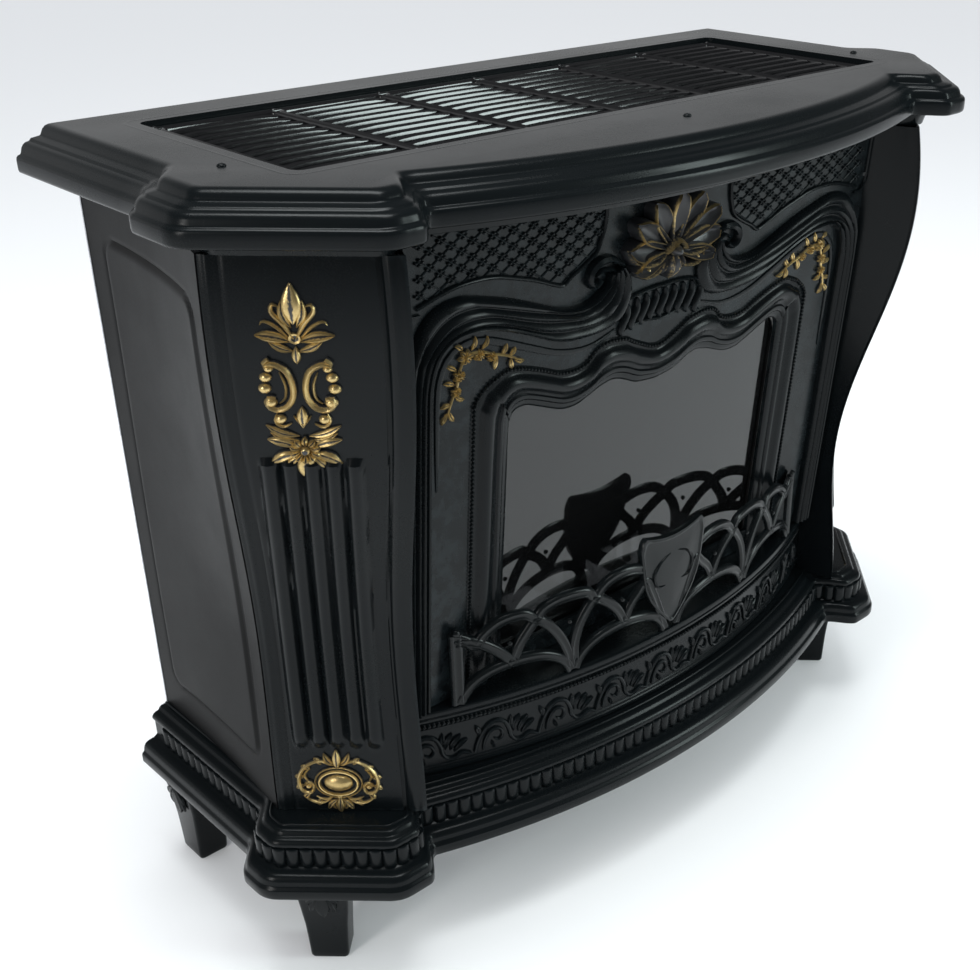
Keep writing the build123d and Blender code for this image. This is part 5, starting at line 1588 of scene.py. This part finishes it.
    def lattice(self) -> Draft:
        """Builds the crossing bars of both lattice fields."""
        draft = Draft("lattice_fields")
        outline = self.field()
        start_s, start_t = self.lattice_start
        for way in (-1, 1):
            for i in range(-10, 42):
                part: list[Spot] = []
                for k in range(self.lattice_count + 1):
                    run = k * self.lattice_stride
                    spot = (start_s + i * self.lattice_pitch + way * run,
                            start_t + run * self.lattice_slope)
                    if k < self.lattice_count and self.inside(spot, outline):
                        part.append(spot)
                        continue
                    if len(part) > 4:
                        ends = [part[0], part[len(part) // 2], part[-1]]
                        for path in (ends, mirrored(ends)):
                            draft.sweep(FRONT, path, half_round(2.1, 1.3, 0.8, 4))
                    part = []
        return draft

    def lattice_dots(self) -> list[tuple]:
        """Seats of the rosettes where the lattice bars cross."""
        outline = self.field()
        start_s, start_t = self.lattice_start
        spots = []
        for i in range(-10, 60):
            for j in range(-10, 60):
                k = (j - i) * self.lattice_pitch / 2
                s, t = start_s + i * self.lattice_pitch + k, start_t + k * self.lattice_slope
                if k >= 0 and self.inside((s, t), outline) and self.inside((s, t - 4), outline):
                    for side in (-1, 1):
                        here = FRONT.at(side * s, t, 1.0)
                        along, out = FRONT.turn(side * s, t)
                        spots.append((here, along, out))
        return spots

    def rosette_unit(self, finish: bpy.types.Material) -> bpy.types.Object:
        """Four small studs round a crossing."""
        draft = Draft("rosette_unit")
        for s, t in ((-3.4, 0), (3.4, 0), (0, -2.4), (0, 2.4)):
            draft.boss(UNIT_FACE, (s, t), (1.8, 1.4), 1.7, 0.4, 8)
        return draft.build(finish)

    def shell(self) -> Draft:
        """Builds the shell: a fan of hollow lobes over two curled leaves."""
        draft = Draft("scallop_shell")
        centre = (0.0, 672.0)
        lobes = 9
        for i in range(lobes):
            share = i / (lobes - 1)
            turn = radians(-16 + 212 * share)
            size = 60 - 12 * abs(2 * share - 1) ** 2 + (0 if 0.2 < share < 0.8 else -2)
            tip = (centre[0] + size * 1.22 * cos(turn), centre[1] + min(56, size) * sin(turn))
            self.lobe(draft, centre, tip, 23.0 if 0 < i < lobes - 1 else 18.0, 20.0 - 2 * (i % 2))
        for m in (-1, 1):
            draft.stroke(FRONT, [(m * 8, 668), (m * 24, 662), (m * 42, 664), (m * 55, 672), (m * 62, 682)],
                         8, 15, 0.8, tail=0.4)
            draft.stroke(FRONT, [(m * 6, 662), (m * 20, 652), (m * 36, 651), (m * 44, 658), (m * 38, 664),
                                 (m * 31, 660)], 7, 13, 0.8, tail=0.5)
            draft.boss(FRONT, (m * 34, 658), (4.5, 4.5), 14, 0.9)
            draft.leaf(FRONT, (m * 6, 668), (m * 15, 648), 9, 14, bend=m * 2, gilt=0.7)
        draft.leaf(FRONT, (0, 672), (0, 642), 17, 18, gilt=0.75, crease=0.3, full=0.5)
        draft.stroke(FRONT, [(-14, 671), (-7, 679), (0, 682), (7, 679), (14, 671)], 6, 21, 1.0, tail=0.6)
        draft.boss(FRONT, (0, 672), (8, 7), 22, 0.6)
        return draft

    def lobe(self, draft: Draft, base: Spot, tip: Spot, width: float, height: float) -> None:
        """Lays one hollow lobe whose rim is higher than its middle."""
        path = even_path([base, tip], 14)

        def rows(u: float) -> Profile:
            """Profile of the lobe at a share of its length."""
            if u < 0.62:
                half = width / 2 * (0.16 + 0.84 * (u / 0.62) ** 0.8)
            else:
                half = width / 2 * sqrt(max(0.02, 1 - ((u - 0.62) / 0.38) ** 2))
            rim = height * (0.62 + 0.38 * u) * (1.0 if u < 0.93 else 0.82)
            dish = rim * (0.5 if u < 0.85 else 0.5 + 0.4 * (u - 0.85) / 0.15)
            edge = min(1.0, 0.55 + 0.6 * u)
            return [(-half, -1.0, 0.0), (-half, rim * 0.55, 0.1), (-half * 0.93, rim * 0.92, edge),
                    (-half * 0.84, rim, edge), (-half * 0.72, rim * 0.86, 0.1), (-half * 0.3, dish, 0.0),
                    (0.0, dish * 0.9, 0.0), (half * 0.3, dish, 0.0), (half * 0.72, rim * 0.86, 0.1),
                    (half * 0.84, rim, edge), (half * 0.93, rim * 0.92, edge), (half, rim * 0.55, 0.1),
                    (half, -1.0, 0.0)]

        draft.sweep(FRONT, path, rows)

    def lambrequin(self) -> Draft:
        """Builds the row of hanging tongues under the shell."""
        draft = Draft("hanging_tongues")
        top = [(-64, 622), (-44, 631), (-20, 634), (0, 634), (20, 634), (44, 631), (64, 622)]
        draft.stroke(FRONT, top, 5.0, 4.6, 0.0, tail=0.5)
        draft.stroke(FRONT, [(s * 0.9, t - 34 + abs(s) * 0.12) for s, t in top], 4.0, 3.4, 0.0, tail=0.4)
        for i in range(-4, 5):
            s = i * 13.0
            drop = 8.0 * (s / 52) ** 2
            draft.stroke(FRONT, [(s + 3, 631 - drop * 0.5), (s + 4.5, 624 - drop), (s, 615 - drop),
                                 (s - 3, 607 - drop), (s - 1, 602 - drop)], 9.0, 5.6, 0.0, tail=0.35)
        return draft

    def spray(self, side: int, label: str) -> Draft:
        """Builds the gilt spray of flowers and leaves at a corner of the window."""
        draft = Draft(f"flower_spray_{label}")
        m = side
        draft.stroke(FRONT, [(m * 247, 625), (m * 232, 625), (m * 215, 618), (m * 200, 613),
                             (m * 186, 606)], 3.6, 4.0, tail=0.6)
        draft.stroke(FRONT, [(m * 247, 625), (m * 253, 612), (m * 256, 598), (m * 262, 585),
                             (m * 265, 575)], 3.6, 4.0, tail=0.6)
        for s, t, size in ((247, 624, 7.0), (232, 622, 5.6), (254, 608, 5.6), (218, 617, 4.6),
                           (257, 594, 4.6)):
            for k in range(6):
                turn = 2 * pi * k / 6 + s
                draft.leaf(FRONT, (m * (s + 1.2 * cos(turn)), t + 1.2 * sin(turn)),
                           (m * (s + size * 1.25 * cos(turn)), t + size * sin(turn)), size * 0.75, 5.6,
                           crease=0.3)
            draft.boss(FRONT, (m * s, t), (size * 0.32, size * 0.3), 7.0)
        for a, b, c, d in ((206, 614, 200, 626), (210, 616, 213, 603), (196, 611, 190, 620),
                           (194, 609, 192, 598), (190, 607, 178, 603), (240, 628, 236, 640),
                           (228, 626, 222, 637), (258, 600, 270, 604), (258, 590, 247, 584),
                           (262, 583, 274, 582), (264, 577, 258, 566), (265, 576, 272, 566),
                           (256, 612, 268, 620), (250, 630, 258, 636)):
            draft.leaf(FRONT, (m * a, b), (m * c, d), 5.4, 4.2, bend=1.2 * m, crease=0.4)
        return draft


# Ledge, apron and fence
@dataclass
class LedgeGroup:
    """The bowed ledge, the apron beneath it and the pierced fence on it."""

    half: float = 314.0
    radius: float = 757.0
    reach: float = 360.0
    top: float = 258.0
    thick: float = 12.0
    apron_half: float = 311.5
    apron_low: float = 182.5
    apron_high: float = 243.5
    fence_reach: float = 357.0
    bar: float = 13.5

    def make(self, looks: Finishes, repeats: Repeats) -> None:
        """Makes the ledge, the apron and the fence."""
        settle(self.ledge().build(looks.satin), "ledge")
        face = BowFace(self.reach - 4.0, self.radius)
        settle(self.apron(face).build(looks.satin), "access_panel", body=Body.APRON)
        line = [(s, 240.0) for s in range(-306, 307, 6)]
        spots = string_spots(face, line, 4.6, 0.8)
        settle(repeats.seat("apron_beads", bead_unit(2.0, 2.4, looks.satin), spots, looks.satin),
               body=Body.APRON)
        units = string_spots(face, [(s, 212.0) for s in range(-280, 281, 8)], 70.0, 0.0)
        settle(repeats.seat("apron_waves", self.wave_unit(looks.satin), units, looks.satin),
               body=Body.APRON)
        fence = BowFace(self.fence_reach, self.radius)
        settle(self.fence(fence).build(looks.fence), "fire_fence", slot=Slot.ENAMEL)

    def ledge(self) -> Draft:
        """Builds the shelf with its rounded nose."""
        draft = Draft("bowed_ledge")
        face = BowFace(self.reach, self.radius)
        rings = []
        for i in range(81):
            s = -self.half + 2 * self.half * i / 80
            nose = [face.at(s, self.top, -6.0), face.at(s, self.top, -2.0), face.at(s, 257.4, -0.7),
                    face.at(s, 256.0, 0.0), face.at(s, 252.6, 0.0), face.at(s, 251.6, -0.9),
                    face.at(s, 250.4, -1.0), face.at(s, 249.6, 0.0), face.at(s, 247.4, 0.0),
                    face.at(s, 246.3, -0.8), face.at(s, self.top - self.thick, -2.0)]
            back = [lay(nose[0].x / MM, -288.5, self.top - self.thick),
                    lay(nose[0].x / MM, -288.5, self.top)]
            rings.append(draft.ring(nose + back))
        close_bar(draft, rings)
        return draft

    def apron(self, face: BowFace) -> Draft:
        """Builds the thin apron with its raised rims."""
        draft = Draft("bowed_apron")
        low, high = self.apron_low, self.apron_high
        rows = [(low, -2.5), (low, -0.6), (low + 0.8, 0.2), (low + 4.0, 0.2), (low + 5.0, -0.8),
                (low + 6.4, -0.8), (low + 7.4, 0.4), (low + 9.0, 0.4), (low + 10.0, -0.6),
                (high - 9.0, -0.6), (high - 8.0, 0.6), (high - 6.6, 0.6), (high - 5.8, -0.4),
                (high - 1.4, -0.4), (high - 0.6, -0.2), (high, -0.8), (high, -2.5)]
        rings = []
        for i in range(121):
            s = -self.apron_half + 2 * self.apron_half * i / 120
            rings.append(draft.ring([face.at(s, t, h) for t, h in rows]))
        close_bar(draft, rings)
        return draft

    def wave_unit(self, finish: bpy.types.Material) -> bpy.types.Object:
        """One repeat of the arched leaf pattern, standing on the origin."""
        draft = Draft("wave_unit")
        draft.stroke(UNIT_FACE, [(-35, -16), (-31, -4), (-24, 8), (-14, 15), (-3, 12), (3, 2), (5, -8),
                                 (10, -15), (18, -16), (26, -12), (35, -16)], 5.0, 2.6, 0.0, tail=0.6)
        draft.stroke(UNIT_FACE, [(-26, -16), (-24, -6), (-19, 3), (-12, 6), (-6, 3), (-4, -4), (-8, -9),
                                 (-13, -6)], 4.0, 2.2, 0.0, tail=0.45)
        for base, tip, width, bend in (((8, -4), (16, 14), 7, 2), ((13, -6), (25, 10), 7, 2),
                                       ((17, -9), (32, 3), 6, 2), ((6, 0), (6, 16), 6, 1),
                                       ((-30, 2), (-33, 15), 6, -1), ((-16, -8), (-14, -17), 4, 0)):
            draft.leaf(UNIT_FACE, base, tip, width, 2.4, bend=bend, gilt=0.0, crease=0.4)
        return draft.build(finish)

    def fence(self, face: BowFace) -> Draft:
        """Builds the fence of arches, scallops and a shield."""
        draft = Draft("pierced_fence")
        half = self.bar / 2

        def bar(width: float = 1.0) -> Profile:
            """Section of a bar: two ridges with a shallow valley between them."""
            w = half * width
            return [(-w, -4.0, 0.0), (-w, 0.0, 0.0), (-w * 0.82, 1.5, 0.0), (-w * 0.5, 2.3, 0.0),
                    (-w * 0.15, 1.2, 0.0), (w * 0.15, 1.2, 0.0), (w * 0.5, 2.3, 0.0), (w * 0.82, 1.5, 0.0),
                    (w, 0.0, 0.0), (w, -4.0, 0.0)]

        scallops = ([(258, 335), (250, 331), (243, 325), (238, 321), (230, 331), (216, 340), (200, 343),
                     (186, 341), (175, 333), (168, 341), (154, 346), (140, 347), (126, 346), (114, 343),
                     (106, 334), (98, 343), (86, 349), (72, 351), (58, 350), (44, 346)])
        runs = [scallops,
                [(256, 260), (250, 270), (240, 280), (222, 288), (196, 291), (170, 288), (152, 280),
                 (141, 270), (136, 260)],
                [(131, 260), (126, 270), (115, 280), (96, 288), (68, 291), (40, 287), (22, 279), (12, 268),
                 (9, 260)],
                [(257, 330), (241, 326), (224, 315), (210, 302), (201, 291)],
                [(201, 291), (194, 308), (185, 321), (175, 331), (162, 322), (149, 304), (140, 284),
                 (136, 266)],
                [(131, 266), (132, 286), (127, 306), (119, 321), (107, 333), (92, 325), (78, 311),
                 (68, 293)],
                [(68, 293), (60, 309), (48, 321), (38, 330), (30, 316), (20, 292), (12, 270)]]
        for run in runs:
            path = smooth_path([(float(s), float(t)) for s, t in run], 4.0)
            draft.sweep(face, path, bar(0.86))
            draft.sweep(face, mirrored(path), bar(0.86))
        for m in (-1, 1):
            post = [(m * 257.5, 259.0), (m * 257.5, 300.0), (m * 257.5, 339.0)]
            draft.sweep(face, post, bar(1.0))
            draft.boss(face, (m * 257.5, 341.0), (4.6, 4.2), 4.0)
            for x, z in ((204, 314), (138, 318), (72, 320)):
                draft.boss(face, (m * x, z), (2.6, 2.6), 2.6)
        right = [(0, 373), (16, 374), (30, 377), (44, 381), (49, 368), (47, 352), (45, 336), (41, 318),
                 (33, 301), (20, 284), (8, 271), (0, 264)]
        outline = even_path(right + mirrored(right)[-2::-1], 60)[:-1]
        rows = [(1.0, 0.6, 0.0), (0.985, 2.2, 0.0), (0.94, 2.6, 0.0), (0.90, 1.2, 0.0), (0.86, 1.0, 0.0),
                (0.6, 2.0, 0.0), (0.3, 2.6, 0.0), (0.05, 2.8, 0.0)]
        pad(draft, face, outline, rows, 4.0, (0.0, 326.0))
        for m in (-1, 1):
            draft.stroke(face, [(m * 6, 352), (m * 20, 346), (m * 29, 333), (m * 24, 318), (m * 12, 316)],
                         4.0, 4.0, 0.0, lift=0.6)
        return draft


# Top grille
@dataclass
class Grille:
    """The loose enamelled grille: six framed sections of slats."""

    length: float = 744.0
    depth: float = 243.0
    centre_y: float = GRILLE_Y
    top: float = 790.0
    low: float = 781.2
    sections: int = 6
    slats: int = 11
    bar: float = 9.0

    def make(self, looks: Finishes, repeats: Repeats) -> None:
        """Makes the frame and its slats."""
        settle(self.frame().build(looks.enamel), "top_grille", body=Body.GRILLE, slot=Slot.ENAMEL)
        cell = (self.length - 2 * self.bar) / self.sections
        inner = self.depth - 2 * self.bar - 8.0
        pitch = inner / self.slats
        unit = self.slat_unit(cell - 9.0, looks.enamel)
        item = run_tree("grille_slats", repeats.rows, bpy.data.meshes.new("empty"), {
            "Unit": unit, "Columns": self.sections, "Rows": self.slats,
            "Column Step": (cell * MM, 0.0, 0.0), "Row Step": (0.0, pitch * MM, 0.0),
            "Start": tuple(lay(-cell * (self.sections - 1) / 2, self.centre_y - inner / 2 + pitch / 2,
                               self.top - 4.0)), "Finish": looks.enamel})
        bpy.data.objects.remove(unit)
        settle(item, body=Body.GRILLE, slot=Slot.ENAMEL)
        studs = []
        for i in range(self.sections + 1):
            for y in (-1, 1):
                spot = lay(-cell * self.sections / 2 + cell * i, self.centre_y + y * (self.depth / 2 - 7.0),
                           self.top)
                studs.append((spot, Vector((1.0, 0.0, 0.0)), Vector((0.0, 0.0, 1.0))))
        settle(repeats.seat("grille_studs", bead_unit(2.6, 1.6, looks.enamel), studs, looks.enamel),
               body=Body.GRILLE, slot=Slot.ENAMEL)

    def frame(self) -> Draft:
        """Builds the rounded rim and the bars between the sections."""
        draft = Draft("grille_frame")
        flat = FlatFace((0.0, 0.0, self.top - 2.0), (1.0, 0.0, 0.0), (0.0, 1.0, 0.0))
        rise = [(-5.0, 0.2), (-4.4, 1.4), (-3.0, 2.0), (-1.0, 1.6), (0.0, 0.8), (1.0, 1.4), (3.0, 2.6),
                (4.4, 1.8), (5.0, 0.2)]
        half_x, half_y = self.length / 2 - 5.2, self.depth / 2 - 5.2
        ring = rounded_rectangle((0.0, self.centre_y), (half_x, half_y), 8.0)
        draft.sweep(flat, ring, banded(rise, self.top - 2.0 - self.low), True)
        cell = (self.length - 2 * self.bar) / self.sections
        for i in range(self.sections):
            x = -cell * (self.sections - 1) / 2 + cell * i
            box = rounded_rectangle((x, self.centre_y), (cell / 2 - 2.6, self.depth / 2 - 12.0), 7.0, 6)
            draft.sweep(flat, box, banded([(-3.0, 0.0), (-2.2, 1.6), (0.0, 2.6), (2.2, 1.6), (3.0, 0.0)],
                                          5.0), True)
        return draft

    def slat_unit(self, length: float, finish: bpy.types.Material) -> bpy.types.Object:
        """One slat with round ends, lying along X on the origin."""
        draft = Draft("slat_unit")
        path = [(-length / 2 + length * i / 8, 0.0) for i in range(9)]

        def rows(u: float) -> Profile:
            """Profile of the slat, dipping a little at both ends."""
            end = min(1.0, min(u, 1 - u) * 12)
            rise = 2.6 + 1.2 * end
            return [(-4.6, -2.0, 0.0), (-4.6, 1.0, 0.0), (-3.6, rise - 0.6, 0.0), (-1.8, rise, 0.0),
                    (0.0, rise - 0.7, 0.0), (1.8, rise, 0.0), (3.6, rise - 0.6, 0.0), (4.6, 1.0, 0.0),
                    (4.6, -2.0, 0.0)]

        draft.sweep(UNIT_FACE, path, rows)
        return draft.build(finish)


# Feet, back and fasteners
@dataclass
class Feet:
    """Four tapered feet with a leaf carved on the face of each."""

    front: tuple[float, float, float] = (398.0, -262.0, 45.0)
    rear: tuple[float, float, float] = (412.0, -34.0, 90.0)

    def make(self, looks: Finishes) -> None:
        """Makes the four feet."""
        for label, (x, y, turn) in (("front", self.front), ("rear", self.rear)):
            for side, name in ((-1, "left"), (1, "right")):
                draft = self.foot(f"carved_foot_{label}_{name}", side * x, y, side * turn)
                settle(draft.build(looks.satin), f"foot_{label}_{name}")

    def foot(self, name: str, x: float, y: float, turn: float) -> Draft:
        """Builds one foot.

        Args:
            name: Name of the piece.
            x: Middle of the foot.
            y: Middle of the foot.
            turn: Degrees that its face looks away from the front.

        Returns:
            The draft of the foot.
        """
        draft = Draft(name)
        angle = radians(turn)
        across, back = (cos(angle), sin(angle)), (-sin(angle), cos(angle))
        rows = [(118.9, 30, 26), (112, 29.5, 25.5), (108, 28.4, 24.6), (104, 28.8, 25), (98, 28, 24.4),
                (84, 25.6, 22.6), (65.5, 23.9, 20), (45, 21.6, 18.6), (25, 20.4, 17.8), (8, 19.6, 17.2),
                (2.5, 19.4, 17.0), (0.0, 18.4, 16.0)]
        rings = []
        for z, w, d in rows:
            loop = rounded_rectangle((0.0, 0.0), (w, d), 4.0, 5)
            rings.append(draft.ring([lay(x + across[0] * a + back[0] * b, y + across[1] * a + back[1] * b,
                                         z)
                                     for a, b in loop]))
        draft.skin(rings)
        draft.cap(rings[0])
        draft.cap(rings[-1][::-1])
        origin = (x - back[0] * 18.4, y - back[1] * 18.4, 30.0)
        face = FlatFace(origin, (across[0], across[1], 0.0), (-back[0] * 0.115, -back[1] * 0.115, 1.0))
        draft.leaf(face, (0, 66), (0, 30), 16, 3.2, gilt=0.0)
        for m in (-1, 1):
            draft.leaf(face, (m * 2, 66), (m * 15, 50), 9, 2.8, bend=m * 2, gilt=0.0)
            draft.leaf(face, (m * 3, 60), (m * 12, 38), 8, 2.6, bend=m * 2, gilt=0.0)
            draft.stroke(face, [(m * 2, 74), (m * 12, 71), (m * 19, 76), (m * 16, 81)], 4.0, 2.8, 0.0)
        draft.stroke(face, [(-20, 71), (0, 67), (20, 71)], 3.0, 2.2, 0.0)
        return draft


@dataclass
class Fasteners:
    """Cross-slotted screws, one set for each place."""

    head: float = 4.0
    rise: float = 2.0

    def make(self, looks: Finishes, repeats: Repeats) -> None:
        """Makes the screws of the back and of the top."""
        spots = [(lay(side * 393.0, 0.0, z), Vector((1.0, 0.0, 0.0)), Vector((0.0, 1.0, 0.0)))
                 for side in (-1, 1) for z in (215, 400, 560, 715)]
        settle(repeats.seat("rear_screw_heads", self.screw_unit(looks.steel), spots, looks.steel),
               "rear_screws", slot=Slot.STEEL)
        spots = [(lay(x, y, TOP_Z), Vector((1.0, 0.0, 0.0)), Vector((0.0, 0.0, 1.0)))
                 for x, y in ((0, -354), (-405, -241), (405, -241))]
        settle(repeats.seat("top_screw_heads", self.screw_unit(looks.satin), spots, looks.satin, 0.95),
               "top_screws", slot=Slot.STEEL)

    def screw_unit(self, finish: bpy.types.Material) -> bpy.types.Object:
        """One domed screw head with a cross recess and its shank."""
        draft = Draft("screw_unit")
        sides = 24
        rings = []
        for radius, z in ((1.9, -6.0), (1.9, -0.02), (self.head, 0.0), (self.head, 0.6),
                          (self.head * 0.92, 1.2), (self.head * 0.7, 1.75), (self.head * 0.5, self.rise),
                          (self.head * 0.44, self.rise - 0.1), (self.head * 0.2, self.rise - 0.9)):
            loop = []
            for i in range(sides):
                a = 2 * pi * i / sides
                size = radius
                if z > 0 and radius < self.head * 0.6:
                    size = radius * (1.0 if abs((i % 6) - 3) < 2 else 0.45)
                loop.append(Vector((size * cos(a) * MM, size * sin(a) * MM, z * MM)))
            rings.append(draft.ring(loop))
        close_bar(draft, rings)
        return draft.build(finish)


@dataclass
class ControlKnob:
    """The gas tap's knob with a ribbed rim and a raised grip."""

    x: float = 120.0
    z: float = 212.0
    face_y: float = -324.0
    radius: float = 16.6
    length: float = 18.0

    def make(self, looks: Finishes) -> None:
        """Makes the knob."""
        settle(self.knob().build(looks.knob), "control_knob", body=Body.KNOB, slot=Slot.KNOB)

    def knob(self) -> Draft:
        """Builds the knob as a fluted drum with a bar across its face."""
        draft = Draft("tap_knob")
        rings = []
        sides = 72
        for depth, size in ((self.length, 0.90), (17.4, 0.97), (15.0, 1.0), (11.0, 1.0), (9.8, 0.97),
                            (9.2, 0.9), (9.0, 0.5)):
            loop = []
            for i in range(sides):
                a = 2 * pi * i / sides
                flute = 1.0 - 0.035 * (0.5 + 0.5 * cos(12 * a)) * (1 if size > 0.95 else 0)
                r = self.radius * size * flute
                loop.append(lay(self.x + r * cos(a), self.face_y + depth, self.z + r * sin(a)))
            rings.append(draft.ring(loop))
        draft.skin(rings)
        draft.cap(rings[0])
        draft.cap(rings[-1][::-1])
        face = FlatFace((self.x, self.face_y + 9.2, self.z), (1.0, 0.0, 0.0), (0.0, 0.0, 1.0))
        grip = rounded_rectangle((0.0, 0.0), (4.0, 15.0), 3.0, 6)
        pad(draft, face, grip, [(1.0, 7.0, 0.0), (0.96, 8.4, 0.0), (0.86, 9.1, 0.0)])
        return draft


# Scene around the heater
@dataclass(frozen=True)
class Studio:
    """Floor, light and camera."""

    eye: Row = (-0.9358, -0.9859, 1.0357)
    azimuth: float = 44.4056
    elevation: float = -28.2296
    roll: float = 0.2953
    lens: float = 49.83
    shift: Spot = (-0.1014, 0.0544)

    def make(self) -> None:
        """Makes the stage, the lamps and the camera."""
        self.floor()
        self.world()
        self.lamps()
        self.camera()

    def floor(self) -> None:
        """A plain pale floor that keeps the heater's shadow."""
        draft = Draft("studio_floor")
        ring = draft.ring([Vector((x, y, 0.0)) for x, y in ((-14, -14), (14, -14), (14, 14), (-14, 14))])
        draft.cap(ring)
        material, net, shader = open_material("pale floor")
        net.feed(shader, {"Base Color": (0.86, 0.86, 0.86, 1.0), "Roughness": 0.9})
        draft.build(material)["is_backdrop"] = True

    def world(self) -> None:
        """A pale backdrop that the camera and reflections see, with plain level light."""
        world = bpy.data.worlds.new("studio")
        bpy.context.scene.world = world
        world.use_nodes = True
        net = Nodes(world.node_tree)
        net.tree.nodes.clear()
        path = net.add("ShaderNodeLightPath").outputs
        seen = net.math("MAXIMUM", path["Is Camera Ray"],
                        net.math("MAXIMUM", path["Is Glossy Ray"], path["Is Transmission Ray"]))
        glow = net.add("ShaderNodeBackground", {"Color": (0.93, 0.96, 1.0, 1.0), "Strength": 0.95})
        show = net.add("ShaderNodeBackground", {"Color": (0.95, 0.96, 0.97, 1.0),
                                                "Strength": self.room(net, path["Is Camera Ray"])})
        mix = net.add("ShaderNodeMixShader", {0: seen, 1: glow.outputs[0], 2: show.outputs[0]})
        net.add("ShaderNodeOutputWorld", {0: mix.outputs[0]})

    @staticmethod
    def room(net: Nodes, camera: bpy.types.NodeSocket) -> bpy.types.NodeSocket:
        """Strength of the backdrop: full behind the heater and low down, dim in front and overhead."""
        way = net.add("ShaderNodeTexCoord").outputs["Generated"]
        split = net.add("ShaderNodeSeparateXYZ", {0: way}).outputs
        lit = net.math("MULTIPLY", net.ramp(split["Y"], 0.1, 0.7), net.ramp(split["Z"], 0.55, 0.30))
        dim = net.math("ADD", net.math("MULTIPLY", lit, 0.55), 0.1)
        return net.math("MAXIMUM", dim, camera)

    def lamps(self) -> None:
        """Large soft lamps above, in front and at the left."""
        for name, place, aim, size, power, colour in (
                ("top_soft", (-0.3, -0.2, 3.0), (0.0, 0.0, 0.4), (1.8, 0.9), 60.0, (0.94, 0.99, 1.0)),
                ("front_soft", (1.9, -2.4, 1.5), (0.1, -0.1, 0.4), (0.6, 1.8), 44.0, (0.86, 1.0, 0.98)),
                ("left_soft", (-2.8, -0.4, 1.5), (-0.3, 0.0, 0.4), (0.5, 1.5), 24.0, (1.0, 0.99, 0.97))):
            lamp = bpy.data.lights.new(name, "AREA")
            lamp.shape = "RECTANGLE"
            lamp.size, lamp.size_y = size
            lamp.energy = power
            lamp.color = colour
            item = bpy.data.objects.new(name, lamp)
            item.location = place
            item.rotation_euler = (Vector(aim) - Vector(place)).to_track_quat("-Z", "Y").to_euler()
            bpy.context.scene.collection.objects.link(item)

    def camera(self) -> None:
        """A camera at the photograph's place."""
        az, el, roll = radians(self.azimuth), radians(self.elevation), radians(self.roll)
        look = Vector((sin(az) * cos(el), cos(az) * cos(el), sin(el)))
        right = look.cross(Vector((0.0, 0.0, 1.0))).normalized()
        up = right.cross(look)
        across = right * cos(roll) + up * sin(roll)
        above = up * cos(roll) - right * sin(roll)
        data = bpy.data.cameras.new("view")
        data.sensor_width = 36.0
        data.lens = self.lens
        data.shift_x, data.shift_y = self.shift
        data.clip_start = 0.05
        item = bpy.data.objects.new("view", data)
        turn = Matrix((across, above, -look)).transposed()
        item.matrix_world = Matrix.Translation(Vector(self.eye)) @ turn.to_4x4()
        bpy.context.scene.collection.objects.link(item)
        bpy.context.scene.camera = item
        bpy.context.scene.view_settings.view_transform = "Standard"


CARRIED: dict[str, tuple[str, ...]] = {
    "satin": ("top_cover", "base_plinth", "front_frame", "ledge", "access_panel", "corner_column_left",
              "corner_column_right", "tongue_ornament", "foot_front_left", "foot_front_right",
              "foot_rear_left", "foot_rear_right"),
    "side": ("side_panel_left", "side_panel_right"),
    "enamel": ("top_grille",),
    "fence": ("fire_fence",),
    "brass": ("column_ornament_left", "column_ornament_right", "cartouche_left", "cartouche_right",
              "corner_spray_left", "corner_spray_right", "shell_ornament"),
    "glass": ("window_glass",),
    "zinc": ("rear_panel", "floor_pan", "flue_box", "flue_collar", "firebox_stand_left",
             "firebox_stand_right", "control_bracket", "burner_bracket", "air_shutter"),
    "soot": ("firebox",),
    "iron": ("burner_tube", "mixer_tube"),
    "steel": ("rear_screws", "top_screws", "front_pins", "thermocouple", "spark_electrode",
              "window_retainer", "valve_spindle"),
    "alloy": ("valve_body",),
    "fitting": ("tap_plug", "injector", "inlet_nipple", "pilot_burner"),
    "pipe": ("inlet_pipe", "burner_pipe"),
    "knob": ("control_knob", "igniter_body", "igniter_button"),
    "cord": ("window_gasket",),
}


def dress_carried(frame: dict, looks: Finishes) -> None:
    """Gives every CAD node its finish, also those that a piece stands for."""
    for finish, names in CARRIED.items():
        for name in names:
            item = frame["nodes"][name]
            for slot in item.material_slots:
                slot.material = getattr(looks, finish)


def plain(numbers: object) -> list:
    """Turns nested vectors into plain lists of numbers."""
    return [plain(n) if hasattr(n, "__len__") else float(n) for n in numbers]


def main() -> None:
    """Builds the heater around its frame, sub-assembly by sub-assembly."""
    logging.basicConfig(level=logging.INFO, format="%(name)s: %(message)s")
    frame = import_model()
    cad_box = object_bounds()
    Studio().make()
    looks = Finishes()
    repeats = Repeats()
    dress_carried(frame, looks)
    Casing().make(looks, repeats)
    Columns().make(looks)
    SideSheets().make(looks)
    FrontPlate().make(looks, repeats)
    LedgeGroup().make(looks, repeats)
    Grille().make(looks, repeats)
    Feet().make(looks)
    Fasteners().make(looks, repeats)
    ControlKnob().make(looks)
    {"cad": plain(cad_box), "visual": plain(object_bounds())}


if __name__ == "__main__":
    main()
